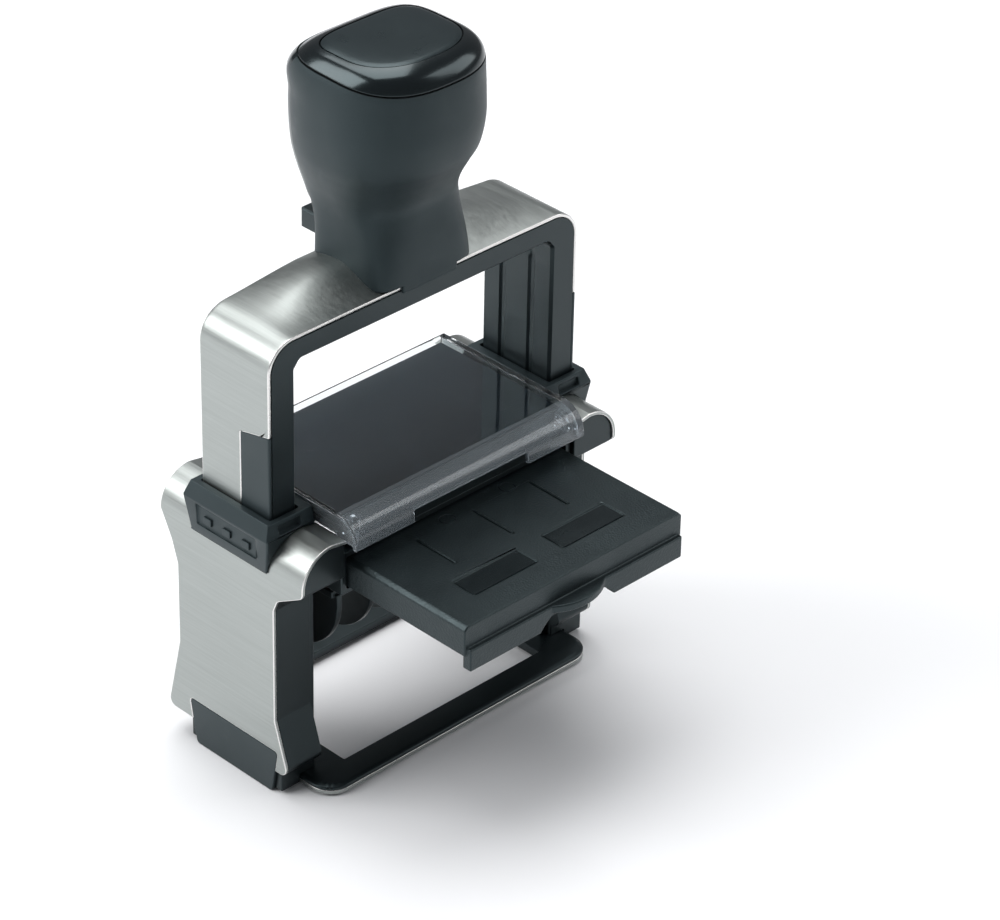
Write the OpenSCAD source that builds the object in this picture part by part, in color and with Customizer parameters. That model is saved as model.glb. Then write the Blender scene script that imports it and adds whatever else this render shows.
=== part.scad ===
// Heavy-duty self-inking stamp: steel-clad press bridge with a knob, a lower body with a
// printing window, a flipping die carriage and a pull-out ink cartridge.
// Millimetres. +Z is up, +Y is the back, the cartridge comes out towards -Y.
// Origin: middle of the printing window, on the paper.

/* [Printing window and die] */
// Width of the printing window in the base frame
open_w = 64; // [58:1:78]
// Depth of the printing window in the base frame
open_d = 36.6; // [36:0.2:46]
// Free space between the die and the window's sides
die_side_gap = 2; // [1.5:0.1:4]
// Free space between the die and the window's front and back
die_end_gap = 2.8; // [2.6:0.1:5]
// Distance from the carriage axis to the face of the rubber die
die_offset = 8.25; // [8:0.05:10]
// Thickness of the rubber die
die_t = 2.3; // [1.5:0.1:3]
// Thickness of the foam layer behind the rubber die
foam_t = 1; // [0.8:0.1:1.5]
// Thickness of the text plate that carries foam and die
plate_t = 1.2; // [1:0.1:1.6]

/* [Press travel] */
// Travel of the bridge from its rest to the paper
stroke = 36; // [30:0.5:44]
// Free space between the ink pad and the die at the top of its swing
swing_clear = 0.2; // [0.15:0.05:1]
// Free space between the die and the paper plane when pressed
paper_gap = 1; // [0.8:0.1:2]

/* [Base frame] */
// Height of the base frame around the printing window
ring_h = 3; // [2.6:0.1:4]
// Width of the base frame's front and back bars
bar_w = 7.4; // [6:0.1:10]
// Outer radius of the base frame's corners
ring_r = 6; // [4:0.5:8]
// Height of the rubber feet below the base frame
foot_h = 0.7; // [0.5:0.1:1]
// Height of the steel trim around the base frame
trim_h = 1; // [0.8:0.1:1.5]
// Wall of the steel trim around the base frame
trim_t = 0.6; // [0.5:0.1:1]

/* [Side housings] */
// Half depth of the body at its shoulders
shoulder_hd = 24.2; // [23:0.2:30]
// Wall of the front pillar beside the leg
front_wall = 2.7; // [2:0.1:4]
// Wall of the back pillar beside the leg
back_wall = 6.8; // [4:0.1:9]
// Height of the shoulder crest above the pad housing
shoulder_up = 5.3; // [4.8:0.1:10]
// Bend radius of the steel over the shoulders
shoulder_r = 9; // [7:0.5:10]
// Drop from the shoulder crest to the waist, where the shoulders step out
waist_drop = 18.5; // [17:0.5:22]
// Thickness of the steel side plates and of the bridge plate
steel_t = 0.9; // [0.8:0.1:1.2]
// Plastic web behind the steel side plate
web_t = 0.8; // [0.7:0.1:1.4]
// Height of the black foot inserts in the side plates
side_foot_h = 12; // [9:0.5:14]

/* [Bridge] */
// Thickness of each leg across the body, with its steel
leg_t = 8.1; // [7.9:0.1:10]
// Half depth of the legs and of the crown
leg_hd = 11.4; // [10.5:0.1:13]
// Height of the crown above the opening
crown_h = 6.4; // [6:0.1:9]
// Extra height of the crown at the knob
crown_rise = 4.2; // [2:0.1:6]
// Outer radius of the bridge's upper corners
crown_r = 7.5; // [5:0.5:9]
// Clearance of a leg in its collar and housing
leg_clear = 0.3; // [0.25:0.05:0.5]
// Height of the black insert in each leg's steel above the collar
insert_h = 19; // [14:1:26]

/* [Collars] */
// Height of the collars' top above the shoulder crest
collar_up = 3.9; // [3:0.1:5]
// Length of the collars down over the shoulders
collar_down = 9; // [7:0.5:11]
// Wall of the collars around the leg at their top
collar_wall = 1.9; // [1.6:0.1:2.6]
// How far the collars' belt stands out over their top edge
collar_belt = 1.4; // [1:0.1:2]

/* [Ink cartridge] */
// Width that the cartridge adds to the printing window on each side
pad_margin = 2.7; // [2.4:0.1:4]
// Thickness of the cartridge
cart_t = 7.8; // [7:0.1:10]
// Depth of the cartridge
cart_d = 47; // [44:0.5:52]
// Distance that the cartridge stands pulled out at rest
cart_out = 33.3; // [20:0.1:36]
// Wall of the cartridge
cart_wall = 1.6; // [1.2:0.1:2.2]
// Clearance of the cartridge in its slot
slot_clear = 0.3; // [0.2:0.05:0.5]

/* [Index window] */
// Height of the clear cover's top above the shoulder crest
cover_up = 4.7; // [4:0.1:6]
// Wall of the clear cover
cover_t = 1.2; // [1:0.1:1.6]
// Outer radius of the clear cover's front roll
roll_r = 6.5; // [5:0.1:8]

/* [Carriage drive] */
// Radius of the pivot pins
pin_r = 2; // [1.6:0.1:2.4]
// Radius of the cam followers
follower_r = 1.5; // [1.2:0.1:1.8]
// Distance from the carriage axis to the cam followers
crank_r = 9; // [8:0.1:10]
// Radial clearance of the pivot pins in their bearings
pin_clear = 0.06; // [0.03:0.01:0.1]
// Radial clearance of the cam followers in their tracks
cam_clear = 0.3; // [0.25:0.05:0.4]

/* [Knob] */
// Height of the knob above the crown
knob_h = 56; // [50:0.5:64]
// Largest half width of the knob
knob_a = 20.4; // [18:0.2:24]
// Half width of the knob's neck
neck_a = 15.3; // [13:0.1:17]
// Radius of the screw shank in the knob
screw_r = 2; // [1.5:0.1:2.5]
// Travel of the lock button
lock_travel = 2; // [1.5:0.1:2.5]

/* [Hidden] */

$fn = 48;
eps = 0.01;
open_hw = open_w / 2;
open_hd = open_d / 2;

// Die
die_hw = open_hw - die_side_gap;
die_hd = open_hd - die_end_gap;
stack_t = die_t + foam_t + plate_t;
seat_z = die_offset - stack_t;

// Height that a corner of the turning die gains over its rest, at a given angle of the flip
function swing(turn) = die_offset * (cos(turn) - 1) + die_hd * sin(turn) - stroke * turn / 180;
// Gap between the die and the pad at rest, rounded up to a tenth
pad_gap = ceil(10 * (max([for (turn = [0:2:90]) swing(turn)]) + swing_clear) - 0.1) / 10;

// Stack of heights
axis_z = paper_gap + die_offset + stroke;
pad_z = axis_z + die_offset + pad_gap;
cart_z0 = pad_z;
cart_z1 = cart_z0 + cart_t;
housing_t = 1.6;
housing_top = cart_z1 + slot_clear + housing_t;
rail_t = 1.3;
rail_z0 = cart_z0 - slot_clear - rail_t;
shoulder_z = housing_top + shoulder_up;
waist_z = shoulder_z - waist_drop;
cover_z = shoulder_z + cover_up;
collar_z = shoulder_z + collar_up;
crown_gap = 0.9;
crown_z0 = cover_z + stroke + crown_gap;
crown_z1 = crown_z0 + crown_h;
crest_z = crown_z1 + crown_rise;
crown_base = crown_z1 - 2 * crown_r - 1;
crown_ledge = 0.5;
knob_z1 = crown_z1 + knob_h;

// Stack of half widths
cart_hw = open_hw + pad_margin;
housing_in = cart_hw + slot_clear;
housing_out = housing_in + housing_t;
cam_in = housing_out + 0.6;
cam_t = 1.6;
cam_out = cam_in + cam_t;
leg_in = cam_out + 1.2;
leg_out = leg_in + leg_t;
leg_core_out = leg_out - steel_t - 0.05;
pocket_out = leg_out + leg_clear;
web_out = pocket_out + web_t;
body_hw = web_out + steel_t;
leg_mid = (leg_in + leg_core_out) / 2;

// Depths
pocket_hd = leg_hd + leg_clear;
waist_front = pocket_hd + front_wall;
waist_back = pocket_hd + back_wall;
ring_hd = open_hd + bar_w;
ring_hw = body_hw - 6.6;
foot_flare = 4.5;
foot_hd = pocket_hd + 4;
steel_z0 = ring_h + 3.4;
shoulder_in = housing_out;
waist_step = 8;
floor_z = ring_h + 1.2;
leg_foot = paper_gap + die_offset - floor_z - 0.4;
leg_bottom = axis_z - leg_foot;
spring_y = 6.2;
cheek_out = die_hw + 3.2;
boss_l = 3.6;
pad_hw = die_hw + 1.4;
channel_r = 2.8;
channel_top = crown_z0 - 6;
rod_r = 1.5;
rod_base = 1;
side_foot_t = steel_t + 0.6;

// Index tray and its clear cover, which slides off to the front on two runners
cover_gap = 0.4;
cover_hw = housing_out + 0.2 - cover_gap;
tray_hw = cover_hw - cover_t - 0.3;
card_t = 0.4;
card_z = cover_z - cover_t - card_t - 0.8;
cover_front = -shoulder_hd - 2.8;
cover_back = shoulder_hd - 3.7;
tray_front = cover_front + roll_r + 0.2;
tray_back = cover_back - 0.6;
runner_t = 1;
runner_h = 1.2;
runner_hl = 14;
runner_z = card_z - 2.8;
runner_clear = 0.2;

// Ink cartridge, housed in the body
cart_front = -shoulder_hd - 2.8;
cart_back = cart_front + cart_d;
cart_shift = -cart_out;
lip_drop = 3.8;

// Knob, its cap and the lock button
seam_z = knob_z1 - 10.5;
insert_z = knob_z1 - 1.8;
seam_tilt = 5;
core_r = 9;
core_top = seam_z - 4;
spine_hw = 11;
spine_y = knob_a - 1.2;
spine_z0 = crown_z1 + 15;
button_hw = 12;
button_z0 = crown_z1 + 5;
button_h = 5;
button_back = leg_hd + 6.5;
button_front = leg_hd - 1;

module mirror_side(side) {
    if (side < 0) children();
    else mirror([1, 0, 0]) children();
}

module slab(x0, x1, y0, y1, z0, z1) {
    translate([x0, y0, z0]) cube([x1 - x0, y1 - y0, z1 - z0]);
}

module round_rect(hx, hy, r) {
    offset(r) square([2 * (hx - r), 2 * (hy - r)], center = true);
}

// Draws an outline given in Y and Z as a plate from x0 to x1
module plate_yz(x0, x1) {
    translate([x0, 0, 0]) rotate([90, 0, 90]) linear_extrude(x1 - x0) children();
}

// Draws an outline given in X and Z as a plate from y0 to y1
module plate_xz(y0, y1) {
    translate([0, y1, 0]) rotate([90, 0, 0]) linear_extrude(y1 - y0) children();
}

// ---------------------------------------------------------------- base frame
module ring_outline(grow) {
    round_rect(ring_hw + grow, ring_hd + grow, ring_r + grow);
}

module base_ring() {
    bevel = 1.2;
    trim_z = foot_h + trim_h;
    color([0.13, 0.15, 0.16]) difference() {
        union() {
            translate([0, 0, foot_h]) linear_extrude(trim_h) ring_outline(-trim_t);
            translate([0, 0, trim_z]) linear_extrude(ring_h - trim_z - 0.5) ring_outline(0);
            hull() {
                translate([0, 0, ring_h - 0.5 - eps]) linear_extrude(eps) ring_outline(0);
                translate([0, 0, ring_h - eps]) linear_extrude(eps) ring_outline(-bevel);
            }
        }
        slab(-open_hw, open_hw, -open_hd, open_hd, -1, ring_h + 1);
        for (sx = [-1, 1], sy = [-1, 1]) {
            foot_pad(sx, sy, foot_h + 0.6);
            frame_screw(sx, sy, 1);
        }
    }
}

module ring_trim() {
    color([0.78, 0.80, 0.80]) translate([0, 0, foot_h]) linear_extrude(trim_h)
        difference() {
            ring_outline(0);
            ring_outline(-trim_t);
        }
}

module foot_pad(sx, sy, height) {
    pad_l = 12;
    pad_w = 4;
    cx = ring_hw - trim_t - pad_l / 2 - 2.5;
    cy = ring_hd - trim_t - pad_w / 2 - 0.6;
    translate([sx * cx, sy * cy, 0]) linear_extrude(height) round_rect(pad_l / 2, pad_w / 2, 1.9);
}

module foot_pads() {
    color([0.06, 0.06, 0.06]) for (sx = [-1, 1], sy = [-1, 1]) foot_pad(sx, sy, foot_h + 0.6);
}

// ------------------------------------------------------------- side housings
// Outline of a side housing in Y and Z: flared foot, waist and wide shoulders
module side_outline() {
    translate([-foot_hd, foot_h]) square([2 * foot_hd, steel_z0]);
    offset(2) offset(-4) offset(2) polygon([
        [-waist_front - foot_flare, steel_z0], [-waist_front, steel_z0 + 14],
        [-waist_front, waist_z], [-waist_front - 1.4, waist_z + 3.2],
        [-shoulder_hd, waist_z + waist_step], [-shoulder_hd, shoulder_z + 4],
        [shoulder_hd, shoulder_z + 4], [shoulder_hd, waist_z + waist_step + 2],
        [waist_back + 2, waist_z + 3], [waist_back, waist_z - 3],
        [waist_back, steel_z0 + 20], [waist_back + foot_flare, steel_z0]]);
}

// Solid shoulder section in X and Z, drawn for the left side, out to the given half width
module shoulder_section(out, top, radius) {
    fall = 0.8;
    union() {
        translate([-out, 0]) square([out - shoulder_in, top - radius]);
        intersection() {
            translate([-out + radius, top - radius]) circle(radius);
            translate([-out, top - radius]) square([radius, radius]);
        }
        polygon([[-out + radius - eps, top - radius - eps], [-shoulder_in, top - radius - eps],
            [-shoulder_in, top - fall], [-out + radius - eps, top]]);
    }
}

module leg_opening(z0) {
    slab(-pocket_out, -leg_in + leg_clear, -pocket_hd, pocket_hd, z0, shoulder_z + 20);
}

module side_frame() {
    difference() {
        intersection() {
            plate_xz(-shoulder_hd + 0.6, shoulder_hd - 0.6)
                shoulder_section(web_out, shoulder_z - steel_t, shoulder_r - steel_t);
            plate_yz(-web_out - 1, -shoulder_in + 1) side_outline();
        }
        // Channel of the leg, open towards the carriage between the two pillars
        slab(-pocket_out, 0, -pocket_hd, pocket_hd, floor_z, rail_z0);
        leg_opening(floor_z);
        // Inner face of the pillars, below the shoulder block
        slab(-cam_out, 0, -shoulder_hd - 1, shoulder_hd + 1, -1, rail_z0 - 1);
        // Seat of the base frame
        translate([0, 0, -1]) linear_extrude(ring_h + 1) ring_outline(0);
        side_foot(side_foot_t);
        for (sy = [-1, 1]) frame_screw(-1, sy, 0);
        collar_seat();
    }
}

module side_frame_left() { color([0.16, 0.18, 0.19]) side_frame(); }
module side_frame_right() { color([0.16, 0.18, 0.19]) mirror_side(1) side_frame(); }

// Bent steel cover of a side housing, over its shoulder
module side_plate() {
    difference() {
        intersection() {
            plate_xz(-shoulder_hd, shoulder_hd) difference() {
                shoulder_section(body_hw, shoulder_z, shoulder_r);
                shoulder_section(web_out, shoulder_z - steel_t, shoulder_r - steel_t);
                translate([-web_out, 0]) square([web_out - shoulder_in, waist_z]);
            }
            plate_yz(-body_hw - 1, -shoulder_in + 1) side_outline();
        }
        slab(-body_hw - 1, 0, -shoulder_hd, shoulder_hd, 0, steel_z0);
        slab(-pocket_out - 0.2, -leg_in + leg_clear + 0.2, -pocket_hd - 0.2, pocket_hd + 0.2,
            shoulder_z - shoulder_r - 2, shoulder_z + 1);
        side_foot(side_foot_t);
        collar_seat();
    }
}

module side_plate_left() { color([0.78, 0.80, 0.80]) side_plate(); }
module side_plate_right() { color([0.78, 0.80, 0.80]) mirror_side(1) side_plate(); }

// Black insert in the foot of a side plate
module side_foot(thick) {
    plate_yz(-body_hw, -body_hw + thick) offset(1) polygon([
        [-foot_hd + 3.4, 1], [foot_hd - 3.4, 1], [foot_hd - 1.6, side_foot_h - 1],
        [-foot_hd + 1.6, side_foot_h - 1]]);
}

module side_foot_left() { color([0.13, 0.15, 0.16]) side_foot(side_foot_t); }
module side_foot_right() { color([0.13, 0.15, 0.16]) mirror_side(1) side_foot(side_foot_t); }

// Screw from below through the base frame into a pillar's foot; grow widens its hole
module frame_screw(sx, sy, grow) {
    head_h = 1.2;
    shank_r = 1.1;
    inset = 1.8;
    translate([sx * (cam_out + inset), sy * (pocket_hd + 2), 0]) {
        translate([0, 0, foot_h + 0.1 - grow]) cylinder(h = head_h + grow, r = 2.1);
        translate([0, 0, foot_h + head_h]) cylinder(h = 9, r = shank_r);
    }
}

module frame_screws() {
    color([0.72, 0.72, 0.70]) for (sx = [-1, 1], sy = [-1, 1]) frame_screw(sx, sy, 0);
}

// ------------------------------------------------------------------- collars
// Outer body of a collar, from below its belt up to its top
module collar_body() {
    belt_z = collar_z - 3.4;
    top_hd = pocket_hd + collar_wall - 0.3;
    top_hw = body_hw + 0.1;
    low_z = shoulder_z - collar_down;
    inner = -shoulder_in - 0.4;
    hull() {
        slab(-top_hw, inner, -top_hd, top_hd, collar_z - eps, collar_z);
        slab(-top_hw - collar_belt, inner, -top_hd - 1, top_hd + 1, belt_z - 0.4, belt_z);
        slab(-top_hw - 0.4, inner, -top_hd + 0.5, top_hd - 0.5, low_z, low_z + 1);
    }
}

// Space that a collar's spigot takes in the shoulder around the leg
module collar_seat() {
    slab(-pocket_out - 0.4, -leg_in + leg_clear + 0.4, -pocket_hd - 0.4, pocket_hd + 0.4,
        shoulder_z - shoulder_r + 2, shoulder_z + 10);
}

module collar() {
    recess = 0.7;
    panel_hd = pocket_hd - 1.6;
    difference() {
        union() {
            difference() {
                collar_body();
                // Steel shoulder that the collar saddles
                plate_xz(-shoulder_hd - 5, shoulder_hd + 5)
                    shoulder_section(body_hw, shoulder_z, shoulder_r);
            }
            // Spigot in the shoulder
            slab(-pocket_out - 0.4, -leg_in + leg_clear + 0.4, -pocket_hd - 0.4,
                pocket_hd + 0.4, shoulder_z - shoulder_r + 2, shoulder_z + 1);
        }
        leg_opening(0);
        // Recess in the outer face
        slab(-body_hw - 5, -body_hw - collar_belt + recess, -panel_hd, panel_hd,
            shoulder_z - collar_down + 3, collar_z - 4.4);
        // Latch pocket in the front face
        slab(-leg_out + 0.5, -leg_in - 1, -pocket_hd - 5, -pocket_hd - collar_wall + 0.5,
            collar_z - 3.2, collar_z - 1);
    }
}

module collar_left() { color([0.20, 0.23, 0.24]) collar(); }
module collar_right() { color([0.20, 0.23, 0.24]) mirror_side(1) collar(); }

// --------------------------------------------------------------- cam plates
// Way of a cam follower in Y and Z while the carriage flips and sinks
function follower_way(turn, shift) =
    [crank_r * cos(turn), axis_z - stroke * turn / 180 + crank_r * sin(turn) + shift];

module cam_plate() {
    half = follower_r + cam_clear;
    pin_way = pin_r + 0.4;
    hold = 2;
    plate_yz(-cam_out, -cam_in) difference() {
        translate([-pocket_hd - hold, ring_h])
            square([2 * (pocket_hd + hold), rail_z0 - 1.6 - ring_h]);
        offset(half) polygon(concat(
            [for (turn = [0:6:180]) follower_way(turn, 0)],
            [for (turn = [180:-6:0]) follower_way(turn, 0.02)]));
        // Way of the pivot pin
        translate([-pin_way, axis_z - stroke - pin_way])
            square([2 * pin_way, rail_z0 - axis_z + stroke + pin_way]);
        // Floor of the leg channel stays below the plate's foot
        translate([-pocket_hd - hold - 1, -1]) square([2 * (pocket_hd + hold) + 2, ring_h + 1]);
    }
}

module cam_plate_left() { color([0.19, 0.22, 0.22]) cam_plate(); }
module cam_plate_right() { color([0.19, 0.22, 0.22]) mirror_side(1) cam_plate(); }

// ------------------------------------------------------- pad housing and top
module pad_housing() {
    front = -shoulder_hd + 1.7;
    back = shoulder_hd - 2.2;
    color([0.15, 0.17, 0.18]) difference() {
        slab(-housing_out, housing_out, front, back, rail_z0, housing_top);
        // Slot of the cartridge, open to the front
        slab(-housing_in, housing_in, front - 1, cart_back + slot_clear, cart_z0 - slot_clear,
            cart_z1 + slot_clear);
        // Opening over the die between the two rails
        slab(-die_hw - 1.2, die_hw + 1.2, front - 1, back - 2.5, rail_z0 - 1, cart_z0);
    }
}

module index_tray() {
    color([0.12, 0.14, 0.16]) difference() {
        union() {
            slab(-tray_hw, tray_hw, tray_front, tray_back, housing_top, card_z);
            slab(-tray_hw + 6, tray_hw - 6, tray_front - 2.4, tray_front, housing_top, card_z - 4);
        }
        slab(-tray_hw + 1.4, tray_hw - 1.4, tray_front + 1.4, tray_back - 1.4,
            housing_top - 1, card_z - 1.2);
        // Grooves of the cover's runners, open to the front
        for (side = [-1, 1]) runner(side, runner_clear, tray_front - runner_hl);
    }
}

// Runner inside an end wall of the cover; grow widens it for its groove
module runner(side, grow, front) {
    x1 = cover_hw - cover_t + grow;
    mirror_side(-side) slab(x1 - runner_t - 2 * grow, x1 + eps, front, runner_hl + grow,
        runner_z - grow, runner_z + runner_h + grow);
}

module index_card() {
    margin = 0.6;
    color([0.10, 0.12, 0.17]) slab(-tray_hw + margin, tray_hw - margin, tray_front + margin,
        tray_back - margin, card_z, card_z + card_t);
}

// Clear cover: flat top, end walls with runners and a rolled front with two tabs
module index_window() {
    roll_y = cover_front + roll_r;
    roll_z = cover_z - roll_r;
    tab_in = 18;
    tab_drop = 1;
    skirt_z = runner_z - 0.6;
    color([0.72, 0.78, 0.82, 0.45]) difference() {
        union() {
            slab(-cover_hw, cover_hw, roll_y, cover_back, cover_z - cover_t, cover_z);
            for (side = [-1, 1]) cover_end(side, roll_y, roll_z, skirt_z);
            plate_yz(-cover_hw, cover_hw) intersection() {
                translate([roll_y, roll_z]) difference() {
                    circle(roll_r);
                    circle(roll_r - cover_t);
                }
                translate([cover_front, roll_z]) square([roll_r, roll_r]);
            }
            for (side = [-1, 1]) slab(side < 0 ? -cover_hw : tab_in, side < 0 ? -tab_in : cover_hw,
                cover_front, cover_front + cover_t, roll_z - tab_drop, roll_z);
            for (side = [-1, 1]) runner(side, 0, -runner_hl);
        }
        // Raised middle of the front edge
        slab(-tab_in, tab_in, cover_front - 1, cover_front + 3, roll_z - 3, roll_z + 2);
    }
}

module cover_end(side, roll_y, roll_z, skirt_z) {
    x0 = side < 0 ? -cover_hw : cover_hw - cover_t;
    slab(x0, x0 + cover_t, roll_y, cover_back, skirt_z, cover_z);
    plate_yz(x0, x0 + cover_t) intersection() {
        translate([roll_y, roll_z]) circle(roll_r);
        translate([cover_front, roll_z]) square([roll_r + eps, roll_r]);
    }
}

// ----------------------------------------------------------- ink cartridge
module cartridge_case() {
    front = cart_front + cart_shift;
    back = cart_back + cart_shift;
    edge = 1;
    pad_hd = die_hd + 2;
    ledge_r = 14;
    ledge_out = 4;
    arch_r = 15;
    color([0.15, 0.18, 0.19]) difference() {
        union() {
            slab(-cart_hw, cart_hw, front, back, cart_z0, cart_z1 - edge);
            hull() {
                slab(-cart_hw, cart_hw, front, back, cart_z1 - edge - eps, cart_z1 - edge);
                slab(-cart_hw + edge, cart_hw - edge, front, back, cart_z1 - eps, cart_z1);
            }
            // Front lip with its arch over the finger space
            plate_xz(front - 1.2, front + 1.4) difference() {
                translate([-cart_hw + 0.8, cart_z0 - lip_drop])
                    square([2 * cart_hw - 1.6, lip_drop + 2]);
                translate([0, cart_z0 - arch_r + 2]) circle(arch_r);
            }
            // Finger ledge
            intersection() {
                translate([0, front + ledge_r - ledge_out, cart_z0]) cylinder(h = 2, r = ledge_r);
                slab(-ledge_r, ledge_r, front - ledge_out, front + 1, cart_z0, cart_z0 + 2);
            }
        }
        slab(-pad_hw, pad_hw, -pad_hd + cart_shift, pad_hd + cart_shift, cart_z0 - 1,
            cart_z1 - cart_wall);
        // Label recesses and grooves in the top
        for (side = [-1, 1]) slab(side * 14 - 10, side * 14 + 10, front + 8, front + 15,
            cart_z1 - 0.4, cart_z1 + 1);
        for (x = [-18, 0, 18]) slab(x - 0.3, x + 0.3, front + 20, front + 33,
            cart_z1 - 0.3, cart_z1 + 1);
    }
}

module ink_pad() {
    pad_hd = die_hd + 2;
    side_gap = 0.2;
    color([0.05, 0.05, 0.07]) slab(-pad_hw + side_gap, pad_hw - side_gap,
        -pad_hd + side_gap + cart_shift, pad_hd - side_gap + cart_shift,
        cart_z0, cart_z1 - cart_wall);
}

// ------------------------------------------------------------- die carriage
module at_axis() {
    translate([0, 0, axis_z]) children();
}

module die_carriage() {
    rib_r = die_hd + 1;
    rib_t = 1.6;
    bed_t = 2;
    rib_step = (cheek_out - rib_t) / 3;
    color([0.12, 0.13, 0.14]) at_axis() difference() {
        union() {
            slab(-cheek_out, cheek_out, -die_hd, die_hd, seat_z - bed_t, seat_z);
            for (i = [-3:3]) plate_yz(i * rib_step - rib_t / 2, i * rib_step + rib_t / 2)
                rib_outline(rib_r);
            for (side = [-1, 1]) translate([side * cheek_out, 0, 0])
                rotate([0, -side * 90, 0]) cylinder(h = boss_l, r = pin_r + 1.8);
        }
        for (side = [-1, 1]) translate([side * (cheek_out + 1), 0, 0])
            rotate([0, -side * 90, 0]) cylinder(h = boss_l + 1, r = pin_r);
    }
}

module rib_outline(rib_r) {
    intersection() {
        circle(rib_r);
        translate([-rib_r, -rib_r]) square([2 * rib_r, rib_r + seat_z - 1]);
    }
}

module text_plate() {
    color([0.20, 0.21, 0.22]) at_axis()
        slab(-die_hw, die_hw, -die_hd, die_hd, seat_z, seat_z + plate_t);
}

module foam_layer() {
    inset = 0.6;
    color([0.30, 0.30, 0.32]) at_axis() slab(-die_hw + inset, die_hw - inset,
        -die_hd + inset, die_hd - inset, seat_z + plate_t, seat_z + plate_t + foam_t);
}

module rubber_die() {
    relief = 0.8;
    base_t = die_t - relief;
    frame_w = 1;
    z0 = seat_z + plate_t + foam_t;
    color([0.45, 0.16, 0.14]) at_axis() {
        slab(-die_hw, die_hw, -die_hd, die_hd, z0, z0 + base_t);
        // Raised border and blank bars
        difference() {
            slab(-die_hw + 1, die_hw - 1, -die_hd + 1, die_hd - 1, z0 + base_t - eps, die_offset);
            slab(-die_hw + 1 + frame_w, die_hw - 1 - frame_w, -die_hd + 1 + frame_w,
                die_hd - 1 - frame_w, z0, die_offset + 1);
        }
        for (i = [-1:1]) slab(-die_hw + 8, die_hw - 8, i * die_hd / 2 - 1.2, i * die_hd / 2 + 1.2,
            z0 + base_t - eps, die_offset);
    }
}

module pivot_pin(side) {
    translate([side * (cheek_out - boss_l), 0, axis_z]) rotate([0, side * 90, 0])
        cylinder(h = leg_mid + 1.5 - cheek_out + boss_l, r = pin_r);
}

module pivot_pin_left() { color([0.72, 0.72, 0.70]) pivot_pin(-1); }
module pivot_pin_right() { color([0.72, 0.72, 0.70]) pivot_pin(1); }

// Crank on a pivot pin, with the follower that runs in the cam track
module crank() {
    arm_t = cam_in - cheek_out - 0.7;
    x1 = -cheek_out - 0.2;
    translate([0, 0, axis_z]) difference() {
        union() {
            plate_yz(x1 - arm_t, x1) hull() {
                circle(pin_r + 1.8);
                translate([crank_r, 0]) circle(follower_r + 1);
            }
            translate([x1, crank_r, 0]) rotate([0, -90, 0])
                cylinder(h = cam_out - cheek_out - 0.6, r = follower_r);
        }
        translate([x1 + 1, 0, 0]) rotate([0, -90, 0]) cylinder(h = arm_t + 2, r = pin_r);
    }
}

module crank_left() { color([0.22, 0.25, 0.25]) crank(); }
module crank_right() { color([0.22, 0.25, 0.25]) mirror_side(1) crank(); }

// ------------------------------------------------------------------- bridge
// Crown of the bridge with its low gable; inset draws the face below the steel
module crown_solid(inset) {
    corner_r = crown_r - inset;
    hw = leg_out - inset;
    top = crown_z1 - inset;
    flat_hw = hw - corner_r;
    gable_hw = flat_hw - crown_ledge;
    gable_hd = leg_hd - crown_ledge;
    plate_xz(-leg_hd, leg_hd) {
        translate([-hw, crown_base]) square([2 * hw, top - corner_r - crown_base]);
        translate([-flat_hw, crown_base]) square([2 * flat_hw, top - crown_base]);
        for (side = [-1, 1]) translate([side * flat_hw, top - corner_r]) circle(corner_r);
    }
    hull() {
        slab(-gable_hw, gable_hw, -gable_hd, gable_hd, top - 1, top);
        slab(-knob_a, knob_a, -leg_hd * 0.4, leg_hd * 0.6, top, top + crown_rise);
        slab(-knob_a, knob_a, gable_hd - 1, gable_hd, top, top + crown_rise * 0.5);
    }
}

module bridge_inside() {
    slab(-leg_in, leg_in, -leg_hd - 1, leg_hd + 1, 0, crown_z0);
}

module bridge_frame() {
    inset = leg_out - leg_core_out;
    screw_z = crown_z0 + 3;
    color([0.16, 0.18, 0.19]) difference() {
        union() {
            difference() {
                crown_solid(inset);
                bridge_inside();
            }
            for (side = [-1, 1]) slab(side < 0 ? -leg_core_out : leg_in,
                side < 0 ? -leg_in : leg_core_out, -leg_hd, leg_hd, leg_bottom, crown_base + 0.5);
        }
        for (side = [-1, 1]) {
            translate([side * (leg_in - 1), 0, axis_z]) rotate([0, side * 90, 0])
                cylinder(h = leg_mid + 2 - leg_in + 1, r = pin_r + pin_clear);
            translate([side * leg_mid, spring_y, leg_bottom - 1])
                cylinder(h = channel_top - leg_bottom + 1, r = channel_r);
        }
        cylinder(h = knob_z1, r = screw_r);
        cylinder(h = screw_z, r = screw_r + 2);
    }
}

// Notch in the front of a leg's steel, filled by the black insert
module leg_notch(side, out) {
    top = collar_z + insert_h;
    mirror_side(side) plate_yz(-leg_out - out, -leg_core_out) polygon([
        [-leg_hd - 1, leg_bottom - 1], [-1.9, leg_bottom - 1], [-1.9, top],
        [-leg_hd - 1, top + 2.3]]);
}

module bridge_plate() {
    sheet_z = leg_bottom + 12;
    inset = leg_out - leg_core_out;
    color([0.78, 0.80, 0.80]) difference() {
        union() {
            crown_solid(0);
            for (side = [-1, 1]) slab(side < 0 ? -leg_out : leg_core_out,
                side < 0 ? -leg_core_out : leg_out, -leg_hd, leg_hd, sheet_z, crown_base + 0.5);
        }
        crown_solid(inset);
        bridge_inside();
        for (side = [-1, 1]) leg_notch(side, 1);
        cylinder(h = knob_z1, r = screw_r + 2);
    }
}

module leg_insert(side) {
    gap = 0.1;
    sheet_z = leg_bottom + 12;
    intersection() {
        leg_notch(side, 0);
        slab(-leg_out, leg_out, -leg_hd, -1.9 - gap, sheet_z, collar_z + insert_h + 1.9);
    }
}

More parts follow.
